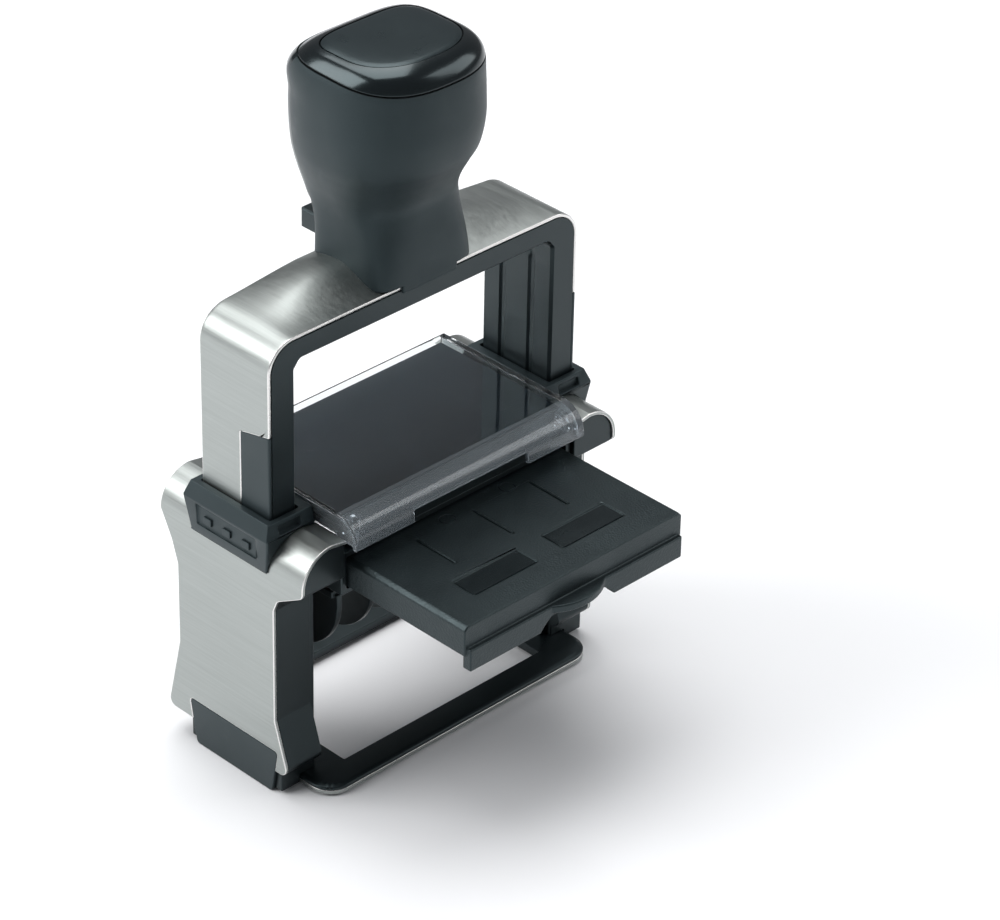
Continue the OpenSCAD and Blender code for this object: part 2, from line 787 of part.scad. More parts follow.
module leg_insert_left() { color([0.20, 0.23, 0.24]) leg_insert(-1); }
module leg_insert_right() { color([0.20, 0.23, 0.24]) leg_insert(1); }

// ------------------------------------------------------------------ springs
// Helix swept as a polyhedron from z0 to z1
module coil(z0, z1, coil_r, wire_r, turns) {
    sides = 6;
    steps = 9;
    rings = turns * steps;
    points = [for (i = [0:rings], j = [0:sides - 1])
        let (turn = 360 * i / steps, lift = z0 + wire_r + (z1 - z0 - 2 * wire_r) * i / rings,
            a = 360 * j / sides, r = coil_r + wire_r * cos(a))
        [r * cos(turn), r * sin(turn), lift + wire_r * sin(a)]];
    faces = concat(
        [[for (j = [0:sides - 1]) j]],
        [[for (j = [sides - 1:-1:0]) rings * sides + j]],
        [for (i = [0:rings - 1], j = [0:sides - 1])
            let (a = i * sides + j, b = i * sides + (j + 1) % sides)
            [a, a + sides, b + sides]],
        [for (i = [0:rings - 1], j = [0:sides - 1])
            let (a = i * sides + j, b = i * sides + (j + 1) % sides)
            [a, b + sides, b]]);
    polyhedron(points, faces);
}

module spring(side) {
    translate([side * leg_mid, spring_y, 0])
        coil(floor_z + rod_base, channel_top, channel_r - 0.7, 0.4, 14);
}

module spring_left() { color([0.75, 0.75, 0.72]) spring(-1); }
module spring_right() { color([0.75, 0.75, 0.72]) spring(1); }

module spring_rod(side) {
    rod_top = channel_top - stroke - 3;
    translate([side * leg_mid, spring_y, floor_z]) {
        cylinder(h = rod_base, r = channel_r - 0.3);
        cylinder(h = rod_top - floor_z, r = rod_r);
    }
}

module spring_rod_left() { color([0.72, 0.72, 0.70]) spring_rod(-1); }
module spring_rod_right() { color([0.72, 0.72, 0.70]) spring_rod(1); }

// --------------------------------------------------------------------- knob
// Stations of the knob: share of its height, half width, shift to the back
knob_stations = [
    [0.00, neck_a + 1.2, 0.8], [0.10, neck_a + 0.9, 1.2], [0.20, neck_a, 2.2],
    [0.31, neck_a + 0.1, 3.8], [0.38, neck_a + 1.6, 4.0], [0.46, knob_a - 1.6, 2.8],
    [0.54, knob_a - 0.5, 2.0], [0.65, knob_a, 1.8], [0.78, knob_a - 0.4, 1.8],
    [0.88, knob_a - 1.5, 1.8], [0.94, knob_a - 3.2, 1.8], [0.98, knob_a - 6.2, 1.8],
    [1.00, knob_a - 10.5, 1.8]];

// Superellipse with corners squarer than a circle's
function knob_ring(z, a, shift) = [for (i = [0:31])
    let (t = 360 * i / 32, c = cos(t), s = sin(t), p = 2 / 2.5)
    [sign(c) * pow(abs(c), p) * a, sign(s) * pow(abs(s), p) * a * 0.98 + shift, z]];

// Closed skin through a run of stations, shrunk by inset
module knob_skin(inset) {
    n = len(knob_stations);
    span = knob_z1 - crown_z1;
    points = [for (k = knob_stations) each
        knob_ring(crown_z1 + 0.4 + (span - inset - 0.4) * k[0], k[1] - inset, k[2])];
    faces = concat(
        [[for (j = [0:31]) j]],
        [[for (j = [31:-1:0]) (n - 1) * 32 + j]],
        [for (i = [0:n - 2], j = [0:31])
            let (a = i * 32 + j, b = i * 32 + (j + 1) % 32) [a, a + 32, b + 32]],
        [for (i = [0:n - 2], j = [0:31])
            let (a = i * 32 + j, b = i * 32 + (j + 1) % 32) [a, b + 32, b]]);
    polyhedron(points, faces);
}

// Half space above the tilted seam between the grip and its cap
module above_seam(z, tilt) {
    translate([0, 0, z]) rotate([tilt, 0, 0]) translate([-40, -40, 0]) cube([80, 80, 60]);
}

module spine_zone() {
    slab(-spine_hw, spine_hw, spine_y, knob_a + 10, spine_z0, seam_z + 30);
}

module insert_zone() {
    intersection() {
        above_seam(insert_z, seam_tilt);
        translate([0, -1, insert_z - 10]) linear_extrude(30) round_rect(14.7, 11.5, 7);
    }
}

module button_pocket() {
    slab(-button_hw - 0.3, button_hw + 0.3, button_front - lock_travel - 0.3, knob_a + 10,
        button_z0 - 0.3, button_z0 + button_h + 0.3);
}

module handle_grip() {
    color([0.17, 0.20, 0.21]) difference() {
        knob_skin(0);
        above_seam(seam_z, seam_tilt);
        spine_zone();
        button_pocket();
        translate([0, 0, crown_z1 - 1]) cylinder(h = core_top - crown_z1 + 1, r = core_r);
        crown_solid(0);
    }
}

module handle_spine() {
    color([0.07, 0.08, 0.09]) difference() {
        intersection() {
            knob_skin(0);
            spine_zone();
        }
        above_seam(seam_z, seam_tilt);
    }
}

module cap_bezel() {
    color([0.06, 0.07, 0.08]) difference() {
        intersection() {
            knob_skin(0);
            above_seam(seam_z, seam_tilt);
        }
        insert_zone();
    }
}

module cap_insert() {
    color([0.20, 0.24, 0.25]) intersection() {
        knob_skin(0.3);
        insert_zone();
    }
}

module handle_core() {
    color([0.25, 0.27, 0.28]) difference() {
        translate([0, 0, crest_z]) cylinder(h = core_top - crest_z, r = core_r);
        cylinder(h = core_top - 8, r = screw_r);
        button_pocket();
    }
}

module handle_screw() {
    head_z = crown_z0 + 0.5;
    color([0.72, 0.72, 0.70]) {
        translate([0, 0, head_z]) cylinder(h = crown_z0 + 3 - head_z, r = screw_r + 1.6);
        translate([0, 0, head_z]) cylinder(h = core_top - 8 - head_z, r = screw_r);
    }
}

module lock_button() {
    color([0.13, 0.15, 0.16]) slab(-button_hw, button_hw, button_front, button_back,
        button_z0, button_z0 + button_h);
}

base_ring();
ring_trim();
foot_pads();
side_frame_left();
side_frame_right();
side_plate_left();
side_plate_right();
side_foot_left();
side_foot_right();
collar_left();
collar_right();
cam_plate_left();
cam_plate_right();
pad_housing();
index_tray();
index_card();
index_window();
cartridge_case();
ink_pad();
die_carriage();
text_plate();
foam_layer();
rubber_die();
pivot_pin_left();
pivot_pin_right();
crank_left();
crank_right();
bridge_frame();
bridge_plate();
leg_insert_left();
leg_insert_right();
spring_left();
spring_right();
spring_rod_left();
spring_rod_right();
handle_core();
handle_screw();
handle_grip();
handle_spine();
cap_bezel();
cap_insert();
lock_button();
frame_screws();
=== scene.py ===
"""Looks of a heavy-duty self-inking stamp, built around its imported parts.

Each sub-assembly is a class that models its own pieces and dresses them. Lengths are
metres in the frame of the parts: +Z up, +Y to the back, the middle of the printing
window on the paper at the origin.
"""

import logging
import math
from dataclasses import dataclass
from enum import Enum
from typing import Callable

import bpy
from mathutils import Matrix, Vector


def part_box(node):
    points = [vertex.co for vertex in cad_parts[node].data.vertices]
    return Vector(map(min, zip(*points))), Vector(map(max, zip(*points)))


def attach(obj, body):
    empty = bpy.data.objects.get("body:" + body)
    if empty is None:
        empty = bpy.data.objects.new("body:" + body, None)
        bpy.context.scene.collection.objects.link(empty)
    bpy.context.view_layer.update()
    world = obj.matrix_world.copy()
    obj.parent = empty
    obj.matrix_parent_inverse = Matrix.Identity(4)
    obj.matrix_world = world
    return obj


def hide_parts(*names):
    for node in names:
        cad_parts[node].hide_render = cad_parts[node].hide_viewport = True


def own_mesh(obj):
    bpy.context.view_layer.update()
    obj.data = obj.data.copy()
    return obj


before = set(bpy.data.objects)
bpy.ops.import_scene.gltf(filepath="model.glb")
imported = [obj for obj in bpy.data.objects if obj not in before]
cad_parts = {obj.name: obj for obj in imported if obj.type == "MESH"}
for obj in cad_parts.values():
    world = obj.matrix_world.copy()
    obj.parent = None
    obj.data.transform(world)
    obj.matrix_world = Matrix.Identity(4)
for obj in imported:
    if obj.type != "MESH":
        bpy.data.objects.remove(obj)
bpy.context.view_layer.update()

LOG = logging.getLogger("stamp")

Row = list[Vector]


def clamped(value: float) -> float:
    """The value, held between 0 and 1."""
    return max(0.0, min(1.0, value))


def eased(share: float) -> float:
    """A share that starts and ends gently."""
    return share * share * (3 - 2 * share)


class Side(Enum):
    """The two mirrored halves of the stamp."""

    LEFT = -1
    RIGHT = 1

    @property
    def word(self) -> str:
        """The ending that the half's nodes carry."""
        return self.name.lower()


# ---------------------------------------------------------------- shader effects
@dataclass(frozen=True)
class Effect:
    """A shader node group that several finishes share.

    Attributes:
        name: The group's name.
        inputs: Name and first value of each number that the group takes.
        outputs: Names of the numbers that the group gives.
    """

    name: str
    inputs: tuple[tuple[str, float], ...]
    outputs: tuple[str, ...]

    def tree(self) -> bpy.types.ShaderNodeTree:
        """Makes the empty group with its sockets.

        Returns:
            The new group, with nothing between its input and its output.
        """
        group = bpy.data.node_groups.new(self.name, "ShaderNodeTree")
        number = "NodeSocketFloat"
        for label, value in self.inputs:
            socket = group.interface.new_socket(label, in_out="INPUT", socket_type=number)
            socket.default_value = value
        for label in self.outputs:
            group.interface.new_socket(label, in_out="OUTPUT", socket_type=number)
        return group


class EffectShop:
    """Builds the shared effects once and hands them out."""

    GRAIN = Effect(
        "BrushedGrain", (("Fine", 3200.0), ("Long", 45.0), ("Cloud", 22.0)), ("Grain", "Cloudiness")
    )
    SKIN = Effect("MouldedSkin", (("Grit", 3800.0), ("Patch", 55.0)), ("Height", "Patchiness"))
    RUBS = Effect("HandlingRubs", (("Scale", 160.0), ("Amount", 0.5)), ("Mask",))

    def __init__(self) -> None:
        """Builds the three groups."""
        self.grain = self._grain()
        self.skin = self._skin()
        self.rubs = self._rubs()

    @staticmethod
    def _noise(tree: bpy.types.ShaderNodeTree, detail: float, roughness: float) -> bpy.types.Node:
        """Adds a noise texture.

        Args:
            tree: The group that it goes in.
            detail: Number of octaves.
            roughness: Weight of the fine octaves.

        Returns:
            The noise node.
        """
        noise = tree.nodes.new("ShaderNodeTexNoise")
        noise.inputs["Detail"].default_value = detail
        noise.inputs["Roughness"].default_value = roughness
        noise.inputs["Scale"].default_value = 1.0
        return noise

    def _scaled_place(self, tree: bpy.types.ShaderNodeTree, x: str, y: str, z: str) -> bpy.types.NodeSocket:
        """Gives object coordinates stretched by three of the group's inputs.

        Args:
            tree: The group.
            x: Input that scales X.
            y: Input that scales Y.
            z: Input that scales Z.

        Returns:
            The stretched vector.
        """
        entry = tree.nodes.get("Group Input") or tree.nodes.new("NodeGroupInput")
        place = tree.nodes.new("ShaderNodeTexCoord")
        scale = tree.nodes.new("ShaderNodeCombineXYZ")
        stretch = tree.nodes.new("ShaderNodeVectorMath")
        stretch.operation = "MULTIPLY"
        for axis, label in zip("XYZ", (x, y, z)):
            tree.links.new(entry.outputs[label], scale.inputs[axis])
        tree.links.new(place.outputs["Object"], stretch.inputs[0])
        tree.links.new(scale.outputs[0], stretch.inputs[1])
        return stretch.outputs[0]

    def _grain(self) -> bpy.types.ShaderNodeTree:
        """Long fine scratches along Y with soft clouds over them.

        Returns:
            The finished group.
        """
        tree = self.GRAIN.tree()
        exit_node = tree.nodes.new("NodeGroupOutput")
        lines = self._noise(tree, 3.0, 0.7)
        tree.links.new(self._scaled_place(tree, "Fine", "Long", "Fine"), lines.inputs["Vector"])
        clouds = self._noise(tree, 2.0, 0.5)
        tree.links.new(self._scaled_place(tree, "Cloud", "Cloud", "Cloud"), clouds.inputs["Vector"])
        tree.links.new(lines.outputs["Fac"], exit_node.inputs["Grain"])
        tree.links.new(clouds.outputs["Fac"], exit_node.inputs["Cloudiness"])
        return tree

    def _skin(self) -> bpy.types.ShaderNodeTree:
        """Fine grit of a spark-eroded mould with soft patches of sheen.

        Returns:
            The finished group.
        """
        tree = self.SKIN.tree()
        exit_node = tree.nodes.new("NodeGroupOutput")
        cells = tree.nodes.new("ShaderNodeTexVoronoi")
        cells.inputs["Scale"].default_value = 1.0
        tree.links.new(self._scaled_place(tree, "Grit", "Grit", "Grit"), cells.inputs["Vector"])
        patches = self._noise(tree, 3.0, 0.55)
        tree.links.new(self._scaled_place(tree, "Patch", "Patch", "Patch"), patches.inputs["Vector"])
        tree.links.new(cells.outputs["Distance"], exit_node.inputs["Height"])
        tree.links.new(patches.outputs["Fac"], exit_node.inputs["Patchiness"])
        return tree

    def _rubs(self) -> bpy.types.ShaderNodeTree:
        """Sparse rubbed spots, where fingers polish a surface.

        Returns:
            The finished group.
        """
        tree = self.RUBS.tree()
        entry = tree.nodes.new("NodeGroupInput")
        exit_node = tree.nodes.new("NodeGroupOutput")
        spots = self._noise(tree, 6.0, 0.62)
        tree.links.new(self._scaled_place(tree, "Scale", "Scale", "Scale"), spots.inputs["Vector"])
        ramp = tree.nodes.new("ShaderNodeMapRange")
        ramp.inputs["From Min"].default_value = 0.52
        ramp.inputs["From Max"].default_value = 0.72
        tree.links.new(spots.outputs["Fac"], ramp.inputs["Value"])
        share = tree.nodes.new("ShaderNodeMath")
        share.operation = "MULTIPLY"
        tree.links.new(ramp.outputs["Result"], share.inputs[0])
        tree.links.new(entry.outputs["Amount"], share.inputs[1])
        tree.links.new(share.outputs[0], exit_node.inputs["Mask"])
        return tree


EFFECTS = EffectShop()


# ------------------------------------------------------------------- finishes
@dataclass(frozen=True)
class Finish:
    """Base of every finish: a name, a colour and a range of roughness.

    Attributes:
        name: The material's name.
        colour: Linear base colour.
        dark: Share of the colour in its darkest patches.
        rough: Lowest and highest roughness.
        coat: Weight of the clear coat.
        specular: Specular level.
        tint: Colour of the specular reflection.
    """

    name: str
    colour: tuple[float, float, float]
    dark: float = 0.85
    rough: tuple[float, float] = (0.35, 0.5)
    coat: float = 0.0
    specular: float = 0.5
    tint: tuple[float, float, float] = (1.0, 1.0, 1.0)

    def start(self) -> tuple[bpy.types.Material, bpy.types.NodeTree, bpy.types.Node]:
        """Makes the material with its shader's plain values.

        Returns:
            The material, its node tree and its Principled shader.
        """
        material = bpy.data.materials.new(self.name)
        material.use_nodes = True
        tree = material.node_tree
        shader = tree.nodes["Principled BSDF"]
        shader.inputs["Specular IOR Level"].default_value = self.specular
        shader.inputs["Coat Weight"].default_value = self.coat
        shader.inputs["Specular Tint"].default_value = (*self.tint, 1)
        return material, tree, shader

    def shade(self, tree: bpy.types.NodeTree, shader: bpy.types.Node, mask: bpy.types.NodeSocket) -> None:
        """Varies colour and roughness with a mask.

        Args:
            tree: The material's nodes.
            shader: Its Principled shader.
            mask: Number from 0 to 1 over the surface.
        """
        tint = tree.nodes.new("ShaderNodeMix")
        tint.data_type = "RGBA"
        tint.inputs[6].default_value = (*(c * self.dark for c in self.colour), 1)
        tint.inputs[7].default_value = (*self.colour, 1)
        tree.links.new(mask, tint.inputs[0])
        tree.links.new(tint.outputs[2], shader.inputs["Base Color"])
        span = tree.nodes.new("ShaderNodeMapRange")
        span.inputs["From Min"].default_value = 0.25
        span.inputs["From Max"].default_value = 0.75
        span.inputs["To Min"].default_value = self.rough[0]
        span.inputs["To Max"].default_value = self.rough[1]
        tree.links.new(mask, span.inputs["Value"])
        tree.links.new(span.outputs["Result"], shader.inputs["Roughness"])

    @staticmethod
    def relief(
        tree: bpy.types.NodeTree,
        shader: bpy.types.Node,
        height: bpy.types.NodeSocket,
        depth: float,
        strength: float,
    ) -> None:
        """Raises a height as bump.

        Args:
            tree: The material's nodes.
            shader: Its Principled shader.
            height: Height over the surface.
            depth: Depth of the relief in metres.
            strength: Share of it that is used.
        """
        bump = tree.nodes.new("ShaderNodeBump")
        bump.inputs["Distance"].default_value = depth
        bump.inputs["Strength"].default_value = strength
        tree.links.new(height, bump.inputs["Height"])
        tree.links.new(bump.outputs["Normal"], shader.inputs["Normal"])

    @staticmethod
    def place(
        tree: bpy.types.NodeTree, group: bpy.types.ShaderNodeTree, **values: float
    ) -> bpy.types.Node:
        """Places a shared effect with this finish's own values.

        Args:
            tree: The material's nodes.
            group: The effect's group.
            **values: Values of the effect's inputs.

        Returns:
            The group node.
        """
        node = tree.nodes.new("ShaderNodeGroup")
        node.node_tree = group
        for label, value in values.items():
            node.inputs[label].default_value = value
        return node

    def make(self) -> bpy.types.Material:
        """Builds the material; each kind of finish has its own way."""
        raise NotImplementedError


@dataclass(frozen=True)
class Moulded(Finish):
    """Moulded plastic or rubber with a fine grit.

    Attributes:
        tint: Colour of the specular reflection, slightly cold.
        grit: Cells of the grit per metre.
        depth: Depth of the grit in metres.
        strength: Share of the grit's relief that shows.
        sheen: Weight of the soft-touch sheen.
        rubbed: How far rubbed spots turn smoother.
    """

    tint: tuple[float, float, float] = (0.74, 0.95, 1.0)
    grit: float = 3800.0
    depth: float = 0.00002
    strength: float = 0.5
    sheen: float = 0.0
    rubbed: float = 0.3

    def make(self) -> bpy.types.Material:
        """Builds the moulded material.

        Returns:
            The finished material.
        """
        material, tree, shader = self.start()
        shader.inputs["Sheen Weight"].default_value = self.sheen
        shader.inputs["Sheen Roughness"].default_value = 0.4
        skin = self.place(tree, EFFECTS.skin, Grit=self.grit)
        rubs = self.place(tree, EFFECTS.rubs, Amount=self.rubbed)
        mask = tree.nodes.new("ShaderNodeMath")
        mask.operation = "SUBTRACT"
        tree.links.new(skin.outputs["Patchiness"], mask.inputs[0])
        tree.links.new(rubs.outputs["Mask"], mask.inputs[1])
        self.shade(tree, shader, mask.outputs[0])
        self.relief(tree, shader, skin.outputs["Height"], self.depth, self.strength)
        return material


@dataclass(frozen=True)
class Brushed(Finish):
    """Stainless sheet brushed along Y.

    Attributes:
        fine: Scratches per metre across the grain.
        depth: Depth of the scratches in metres.
        strength: Share of the scratches' relief that shows.
    """

    fine: float = 1900.0
    depth: float = 0.00004
    strength: float = 0.45

    def make(self) -> bpy.types.Material:
        """Builds the brushed metal.

        Returns:
            The finished material.
        """
        material, tree, shader = self.start()
        shader.inputs["Metallic"].default_value = 1.0
        grain = self.place(tree, EFFECTS.grain, Fine=self.fine)
        blend = tree.nodes.new("ShaderNodeMix")
        blend.inputs[0].default_value = 0.25
        tree.links.new(grain.outputs["Grain"], blend.inputs[2])
        tree.links.new(grain.outputs["Cloudiness"], blend.inputs[3])
        self.shade(tree, shader, blend.outputs[0])
        self.relief(tree, shader, grain.outputs["Grain"], self.depth, self.strength)
        return material


@dataclass(frozen=True)
class Clear(Finish):
    """Clear polycarbonate.

    Attributes:
        index: Index of refraction.
        clarity: Share of the light that passes.
    """

    index: float = 1.45
    clarity: float = 1.0

    def make(self) -> bpy.types.Material:
        """Builds the clear plastic.

        Returns:
            The finished material.
        """
        material, tree, shader = self.start()
        shader.inputs["Transmission Weight"].default_value = self.clarity
        shader.inputs["IOR"].default_value = self.index
        rubs = self.place(tree, EFFECTS.rubs, Scale=90.0, Amount=1.0)
        self.shade(tree, shader, rubs.outputs["Mask"])
        return material


@dataclass(frozen=True)
class Felt(Finish):
    """Inked felt of the pad, or open foam.

    Attributes:
        fibre: Fibres per metre.
    """

    fibre: float = 2600.0

    def make(self) -> bpy.types.Material:
        """Builds the fibrous material.

        Returns:
            The finished material.
        """
        material, tree, shader = self.start()
        shader.inputs["Sheen Weight"].default_value = 0.4
        skin = self.place(tree, EFFECTS.skin, Grit=self.fibre, Patch=180.0)
        self.shade(tree, shader, skin.outputs["Patchiness"])
        self.relief(tree, shader, skin.outputs["Height"], 0.0002, 0.8)
        return material


class Finishes:
    """Every finish of the stamp, built once."""

    def __init__(self) -> None:
        """Builds the materials."""
        self.steel = Brushed("BrushedSteel", (0.47, 0.50, 0.485), 0.58, (0.30, 0.46)).make()
        # Steel for the cut edges and their roundings, painted far brighter than the brushed face: a painted
        # highlight for the light that rounded edges catch.
        self.painted_edge_highlight = Brushed("SteelEdgePaintedHighlight", (0.84, 0.83, 0.81), 0.92, (0.24, 0.34), fine=1400.0).make()
        self.plated = Brushed("PlatedSteel", (0.62, 0.60, 0.55), 0.9, (0.2, 0.3), fine=900.0).make()
        self.frame_black = Moulded("SatinBlackPlastic", (0.0075, 0.0105, 0.0120), 0.8, (0.30, 0.42)).make()
        self.collar_black = Moulded("CollarPlastic", (0.0140, 0.0200, 0.0225), 0.85, (0.36, 0.48)).make()
        # A darker copy of the satin black plastic for the inner and recessed parts: painted shade.
        self.black_painted_shade = Moulded("InnerBlackPaintedShade", (0.0050, 0.0070, 0.0080), 0.8, (0.28, 0.42)).make()
        self.gloss = Moulded(
            "GlossBlackPlastic", (0.0040, 0.0055, 0.0065), 0.9, (0.16, 0.24),
            coat=0.15, strength=0.03, rubbed=0.1
        ).make()
        self.insert = Moulded(
            "CapInsetPlastic", (0.0095, 0.0145, 0.0165), 0.9, (0.26, 0.34), strength=0.1
        ).make()
        self.grip = Moulded(
            "SoftTouchGrip", (0.0120, 0.0185, 0.0210), 0.85, (0.46, 0.58),
            grit=5200.0, strength=0.3, sheen=0.04
        ).make()
        self.rubber = Moulded("FootRubber", (0.012, 0.012, 0.012), 0.8, (0.6, 0.75), grit=2200.0).make()
        self.cartridge = Moulded(
            "CartridgePlastic", (0.0095, 0.0135, 0.0150), 0.8, (0.30, 0.44),
            grit=1900.0, depth=0.00008, strength=0.6
        ).make()
        self.label = Moulded(
            "LabelField", (0.0040, 0.0060, 0.0070), 0.85, (0.22, 0.3), strength=0.15
        ).make()
        self.clear = Clear("ClearCover", (0.93, 0.95, 0.96), 0.98, (0.02, 0.08)).make()
        self.frosted = Clear("FrostedRoll", (0.70, 0.77, 0.82), 0.98, (0.10, 0.13), clarity=0.86).make()
        self.card = Moulded(
            "IndexCard", (0.0150, 0.0230, 0.0340), 0.7, (0.32, 0.46), grit=900.0, strength=0.1
        ).make()
        self.die = Moulded("StampRubber", (0.20, 0.035, 0.028), 0.8, (0.55, 0.7), grit=2600.0).make()
        self.ink_felt = Felt("InkedFelt", (0.006, 0.006, 0.012), 0.6, (0.5, 0.8)).make()
        self.foam = Felt("DieFoam", (0.05, 0.05, 0.055), 0.7, (0.8, 0.95), fibre=1500.0).make()


# ------------------------------------------------------------------ workbench
class Bench:
    """Small modelling steps that every sub-assembly uses.

    Attributes:
        FACINGS: The six directions in which flat faces are joined.
        PARALLEL: Dot product above which two directions count as one.
        AREA_SLACK: Share of its surface that sound rounding may add or take.
    """

    FACINGS = tuple(Vector(v) for v in ((1, 0, 0), (-1, 0, 0), (0, 1, 0), (0, -1, 0), (0, 0, 1), (0, 0, -1)))
    PARALLEL = 0.9999
    AREA_SLACK = 0.03

    @staticmethod
    def clear() -> None:
        """Leaves edit mode and deselects everything."""
        if bpy.context.object and bpy.context.object.mode != "OBJECT":
            bpy.ops.object.mode_set(mode="OBJECT")
        bpy.ops.object.select_all(action="DESELECT")

    @classmethod
    def take(cls, piece: bpy.types.Object) -> None:
        """Selects one piece and makes it active."""
        cls.clear()
        piece.select_set(True)
        bpy.context.view_layer.objects.active = piece

    @classmethod
    def rounded_cast(
        cls,
        node: str,
        name: str,
        materials: tuple[bpy.types.Material, ...],
        width: float,
        **options: float,
    ) -> bpy.types.Object:
        """Copies a part and rounds its edges, with whole flat faces where rounding keeps them sound.

        Args:
            node: Name of the part.
            name: Name of the new piece.
            materials: The piece's materials in slot order.
            width: Width of the rounding in metres.
            **options: Further settings of the rounding.

        Returns:
            The rounded piece.
        """
        for whole in (True, False):
            piece = cls.cast(node, name, whole)
            for material in materials:
                piece.data.materials.append(material)
            before = cls.area(piece)
            cls.soften(piece, width, **options)
            if abs(cls.area(piece) / before - 1) < cls.AREA_SLACK or not whole:
                break
            LOG.info("%s keeps its triangles", name)
            bpy.data.objects.remove(piece, do_unlink=True)
        return piece

    @classmethod
    def cast(cls, node: str, name: str, whole: bool = True) -> bpy.types.Object:
        """Copies a part's mesh into a new piece with merged points.

        Args:
            node: Name of the part.
            name: Name of the new piece.
            whole: Whether the triangles of flat faces are joined.

        Returns:
            The new piece.
        """
        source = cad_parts[node]
        piece = bpy.data.objects.new(name, source.data.copy())
        piece.data.name = name
        piece.data.materials.clear()
        bpy.context.scene.collection.objects.link(piece)
        cls.take(piece)
        bpy.ops.object.mode_set(mode="EDIT")
        bpy.ops.mesh.select_all(action="SELECT")
        bpy.ops.mesh.remove_doubles(threshold=2e-6)
        bpy.ops.object.mode_set(mode="OBJECT")
        for facing in (*cls.FACINGS, None) if whole else ():
            cls.flatten(piece, facing)
        return piece

    @classmethod
    def flatten(cls, piece: bpy.types.Object, facing: Vector | None) -> None:
        """Joins the triangles of flat faces, unless that would change the piece's surface.

        Args:
            piece: The piece.
            facing: Direction of the faces to join, or None for every sloping face.
        """
        before, kept = cls.area(piece), piece.data.copy()
        for face in piece.data.polygons:
            near = [face.normal.dot(v) > cls.PARALLEL for v in cls.FACINGS]
            face.select = not any(near) if facing is None else face.normal.dot(facing) > cls.PARALLEL
        bpy.ops.object.mode_set(mode="EDIT")
        bpy.ops.mesh.select_mode(type="FACE")
        bpy.ops.mesh.dissolve_limited(angle_limit=math.radians(0.6))
        bpy.ops.object.mode_set(mode="OBJECT")
        if abs(cls.area(piece) - before) > before * 1e-5:
            piece.data = kept

    @staticmethod
    def area(piece: bpy.types.Object) -> float:
        """Surface of a piece as its triangles draw it, in square metres."""
        piece.data.calc_loop_triangles()
        return sum(triangle.area for triangle in piece.data.loop_triangles)

    @classmethod
    def box(cls, name: str, low: tuple[float, ...], high: tuple[float, ...]) -> bpy.types.Object:
        """Adds a block between two corners, in metres.

        Args:
            name: Name of the piece.
            low: Lowest corner.
            high: Highest corner.

        Returns:
            The block, with its place in its mesh.
        """
        cls.clear()
        bpy.ops.mesh.primitive_cube_add(size=1.0)
        piece = bpy.context.object
        piece.name = piece.data.name = name
        a, b = Vector(low), Vector(high)
        middle, span = (a + b) / 2, b - a
        for point in piece.data.vertices:
            point.co = Vector(middle[k] + point.co[k] * span[k] for k in range(3))
        return piece

    @classmethod
    def loft(cls, name: str, rows: list[Row], closed: bool = True, caps: bool = True) -> bpy.types.Object:
        """Skins rows of points, starting from a grid and closing its seams.

        Args:
            name: Name of the piece.
            rows: Rows of equally many points; a closed row ends on its first point.
            closed: Whether each row is a loop.
            caps: Whether the first and last loops are filled.

        Returns:
            The skinned piece, with its faces pointing outwards.
        """
        cls.clear()
        across, along = len(rows[0]), len(rows)
        bpy.ops.mesh.primitive_grid_add(x_subdivisions=across - 1, y_subdivisions=along - 1, size=1.0)
        piece = bpy.context.object
        piece.name = piece.data.name = name
        flat = [c for row in rows for point in row for c in point]
        piece.data.vertices.foreach_set("co", flat)
        piece.data.update()
        bpy.ops.object.mode_set(mode="EDIT")
        bpy.ops.mesh.select_all(action="SELECT")
        if closed:
            bpy.ops.mesh.remove_doubles(threshold=1e-7)
        if caps:
            cls.fill_ends()
        cls.face_outwards()
        return piece

    @staticmethod
    def fill_ends() -> None:
        """Fills the open ends of the mesh in edit mode."""
        bpy.ops.mesh.select_mode(type="EDGE")
        bpy.ops.mesh.select_all(action="DESELECT")
        bpy.ops.mesh.select_non_manifold(
            extend=False, use_wire=False, use_multi_face=False, use_verts=False
        )
        bpy.ops.mesh.fill_holes(sides=0)

    @staticmethod
    def face_outwards() -> None:
        """Turns the faces of the mesh in edit mode outwards, and leaves edit mode."""
        bpy.ops.mesh.select_all(action="SELECT")
        bpy.ops.mesh.normals_make_consistent(inside=False)
        bpy.ops.object.mode_set(mode="OBJECT")

    @classmethod
    def thicken(
        cls, skin: bpy.types.Object, wall: float, along: bool, even: bool = False, rim_slot: int = 0
    ) -> None:
        """Gives a skin its thickness.

        Args:
            skin: The skin.
            wall: Thickness in metres.
            along: Whether it grows the way its faces point, rather than against it.
            even: Whether corners keep the full thickness.
            rim_slot: Material slot of the cut rim, counted from the skin's own.
        """
        cls.take(skin)
        modifier = skin.modifiers.new("Thickness", "SOLIDIFY")
        modifier.thickness = wall
        modifier.offset = 1 if along else -1
        modifier.use_even_offset = even
        modifier.material_offset_rim = rim_slot
        bpy.ops.object.modifier_apply(modifier=modifier.name)

    @classmethod
    def soften(
        cls,
        piece: bpy.types.Object,
        width: float,
        segments: int = 2,
        angle: float = 32.0,
        edge_slot: int = -1,
    ) -> bpy.types.Object:
        """Rounds a piece's sharp edges and shades it smoothly.

        Args:
            piece: The piece.
            width: Width of the rounding in metres.
            segments: Faces across the rounding.
            angle: Edges sharper than this are rounded, in degrees.
            edge_slot: Material slot that the roundings take, or -1 for their neighbours'.

        Returns:
            The same piece.
        """
        cls.take(piece)
        bevel = piece.modifiers.new("Rounding", "BEVEL")
        bevel.width = width
        bevel.segments = segments
        bevel.limit_method = "ANGLE"
        bevel.angle_limit = math.radians(angle)
        bevel.use_clamp_overlap = False
        bevel.miter_outer = "MITER_ARC"
        bevel.material = edge_slot
        bpy.ops.object.modifier_apply(modifier=bevel.name)
        return cls.smooth(piece, angle)

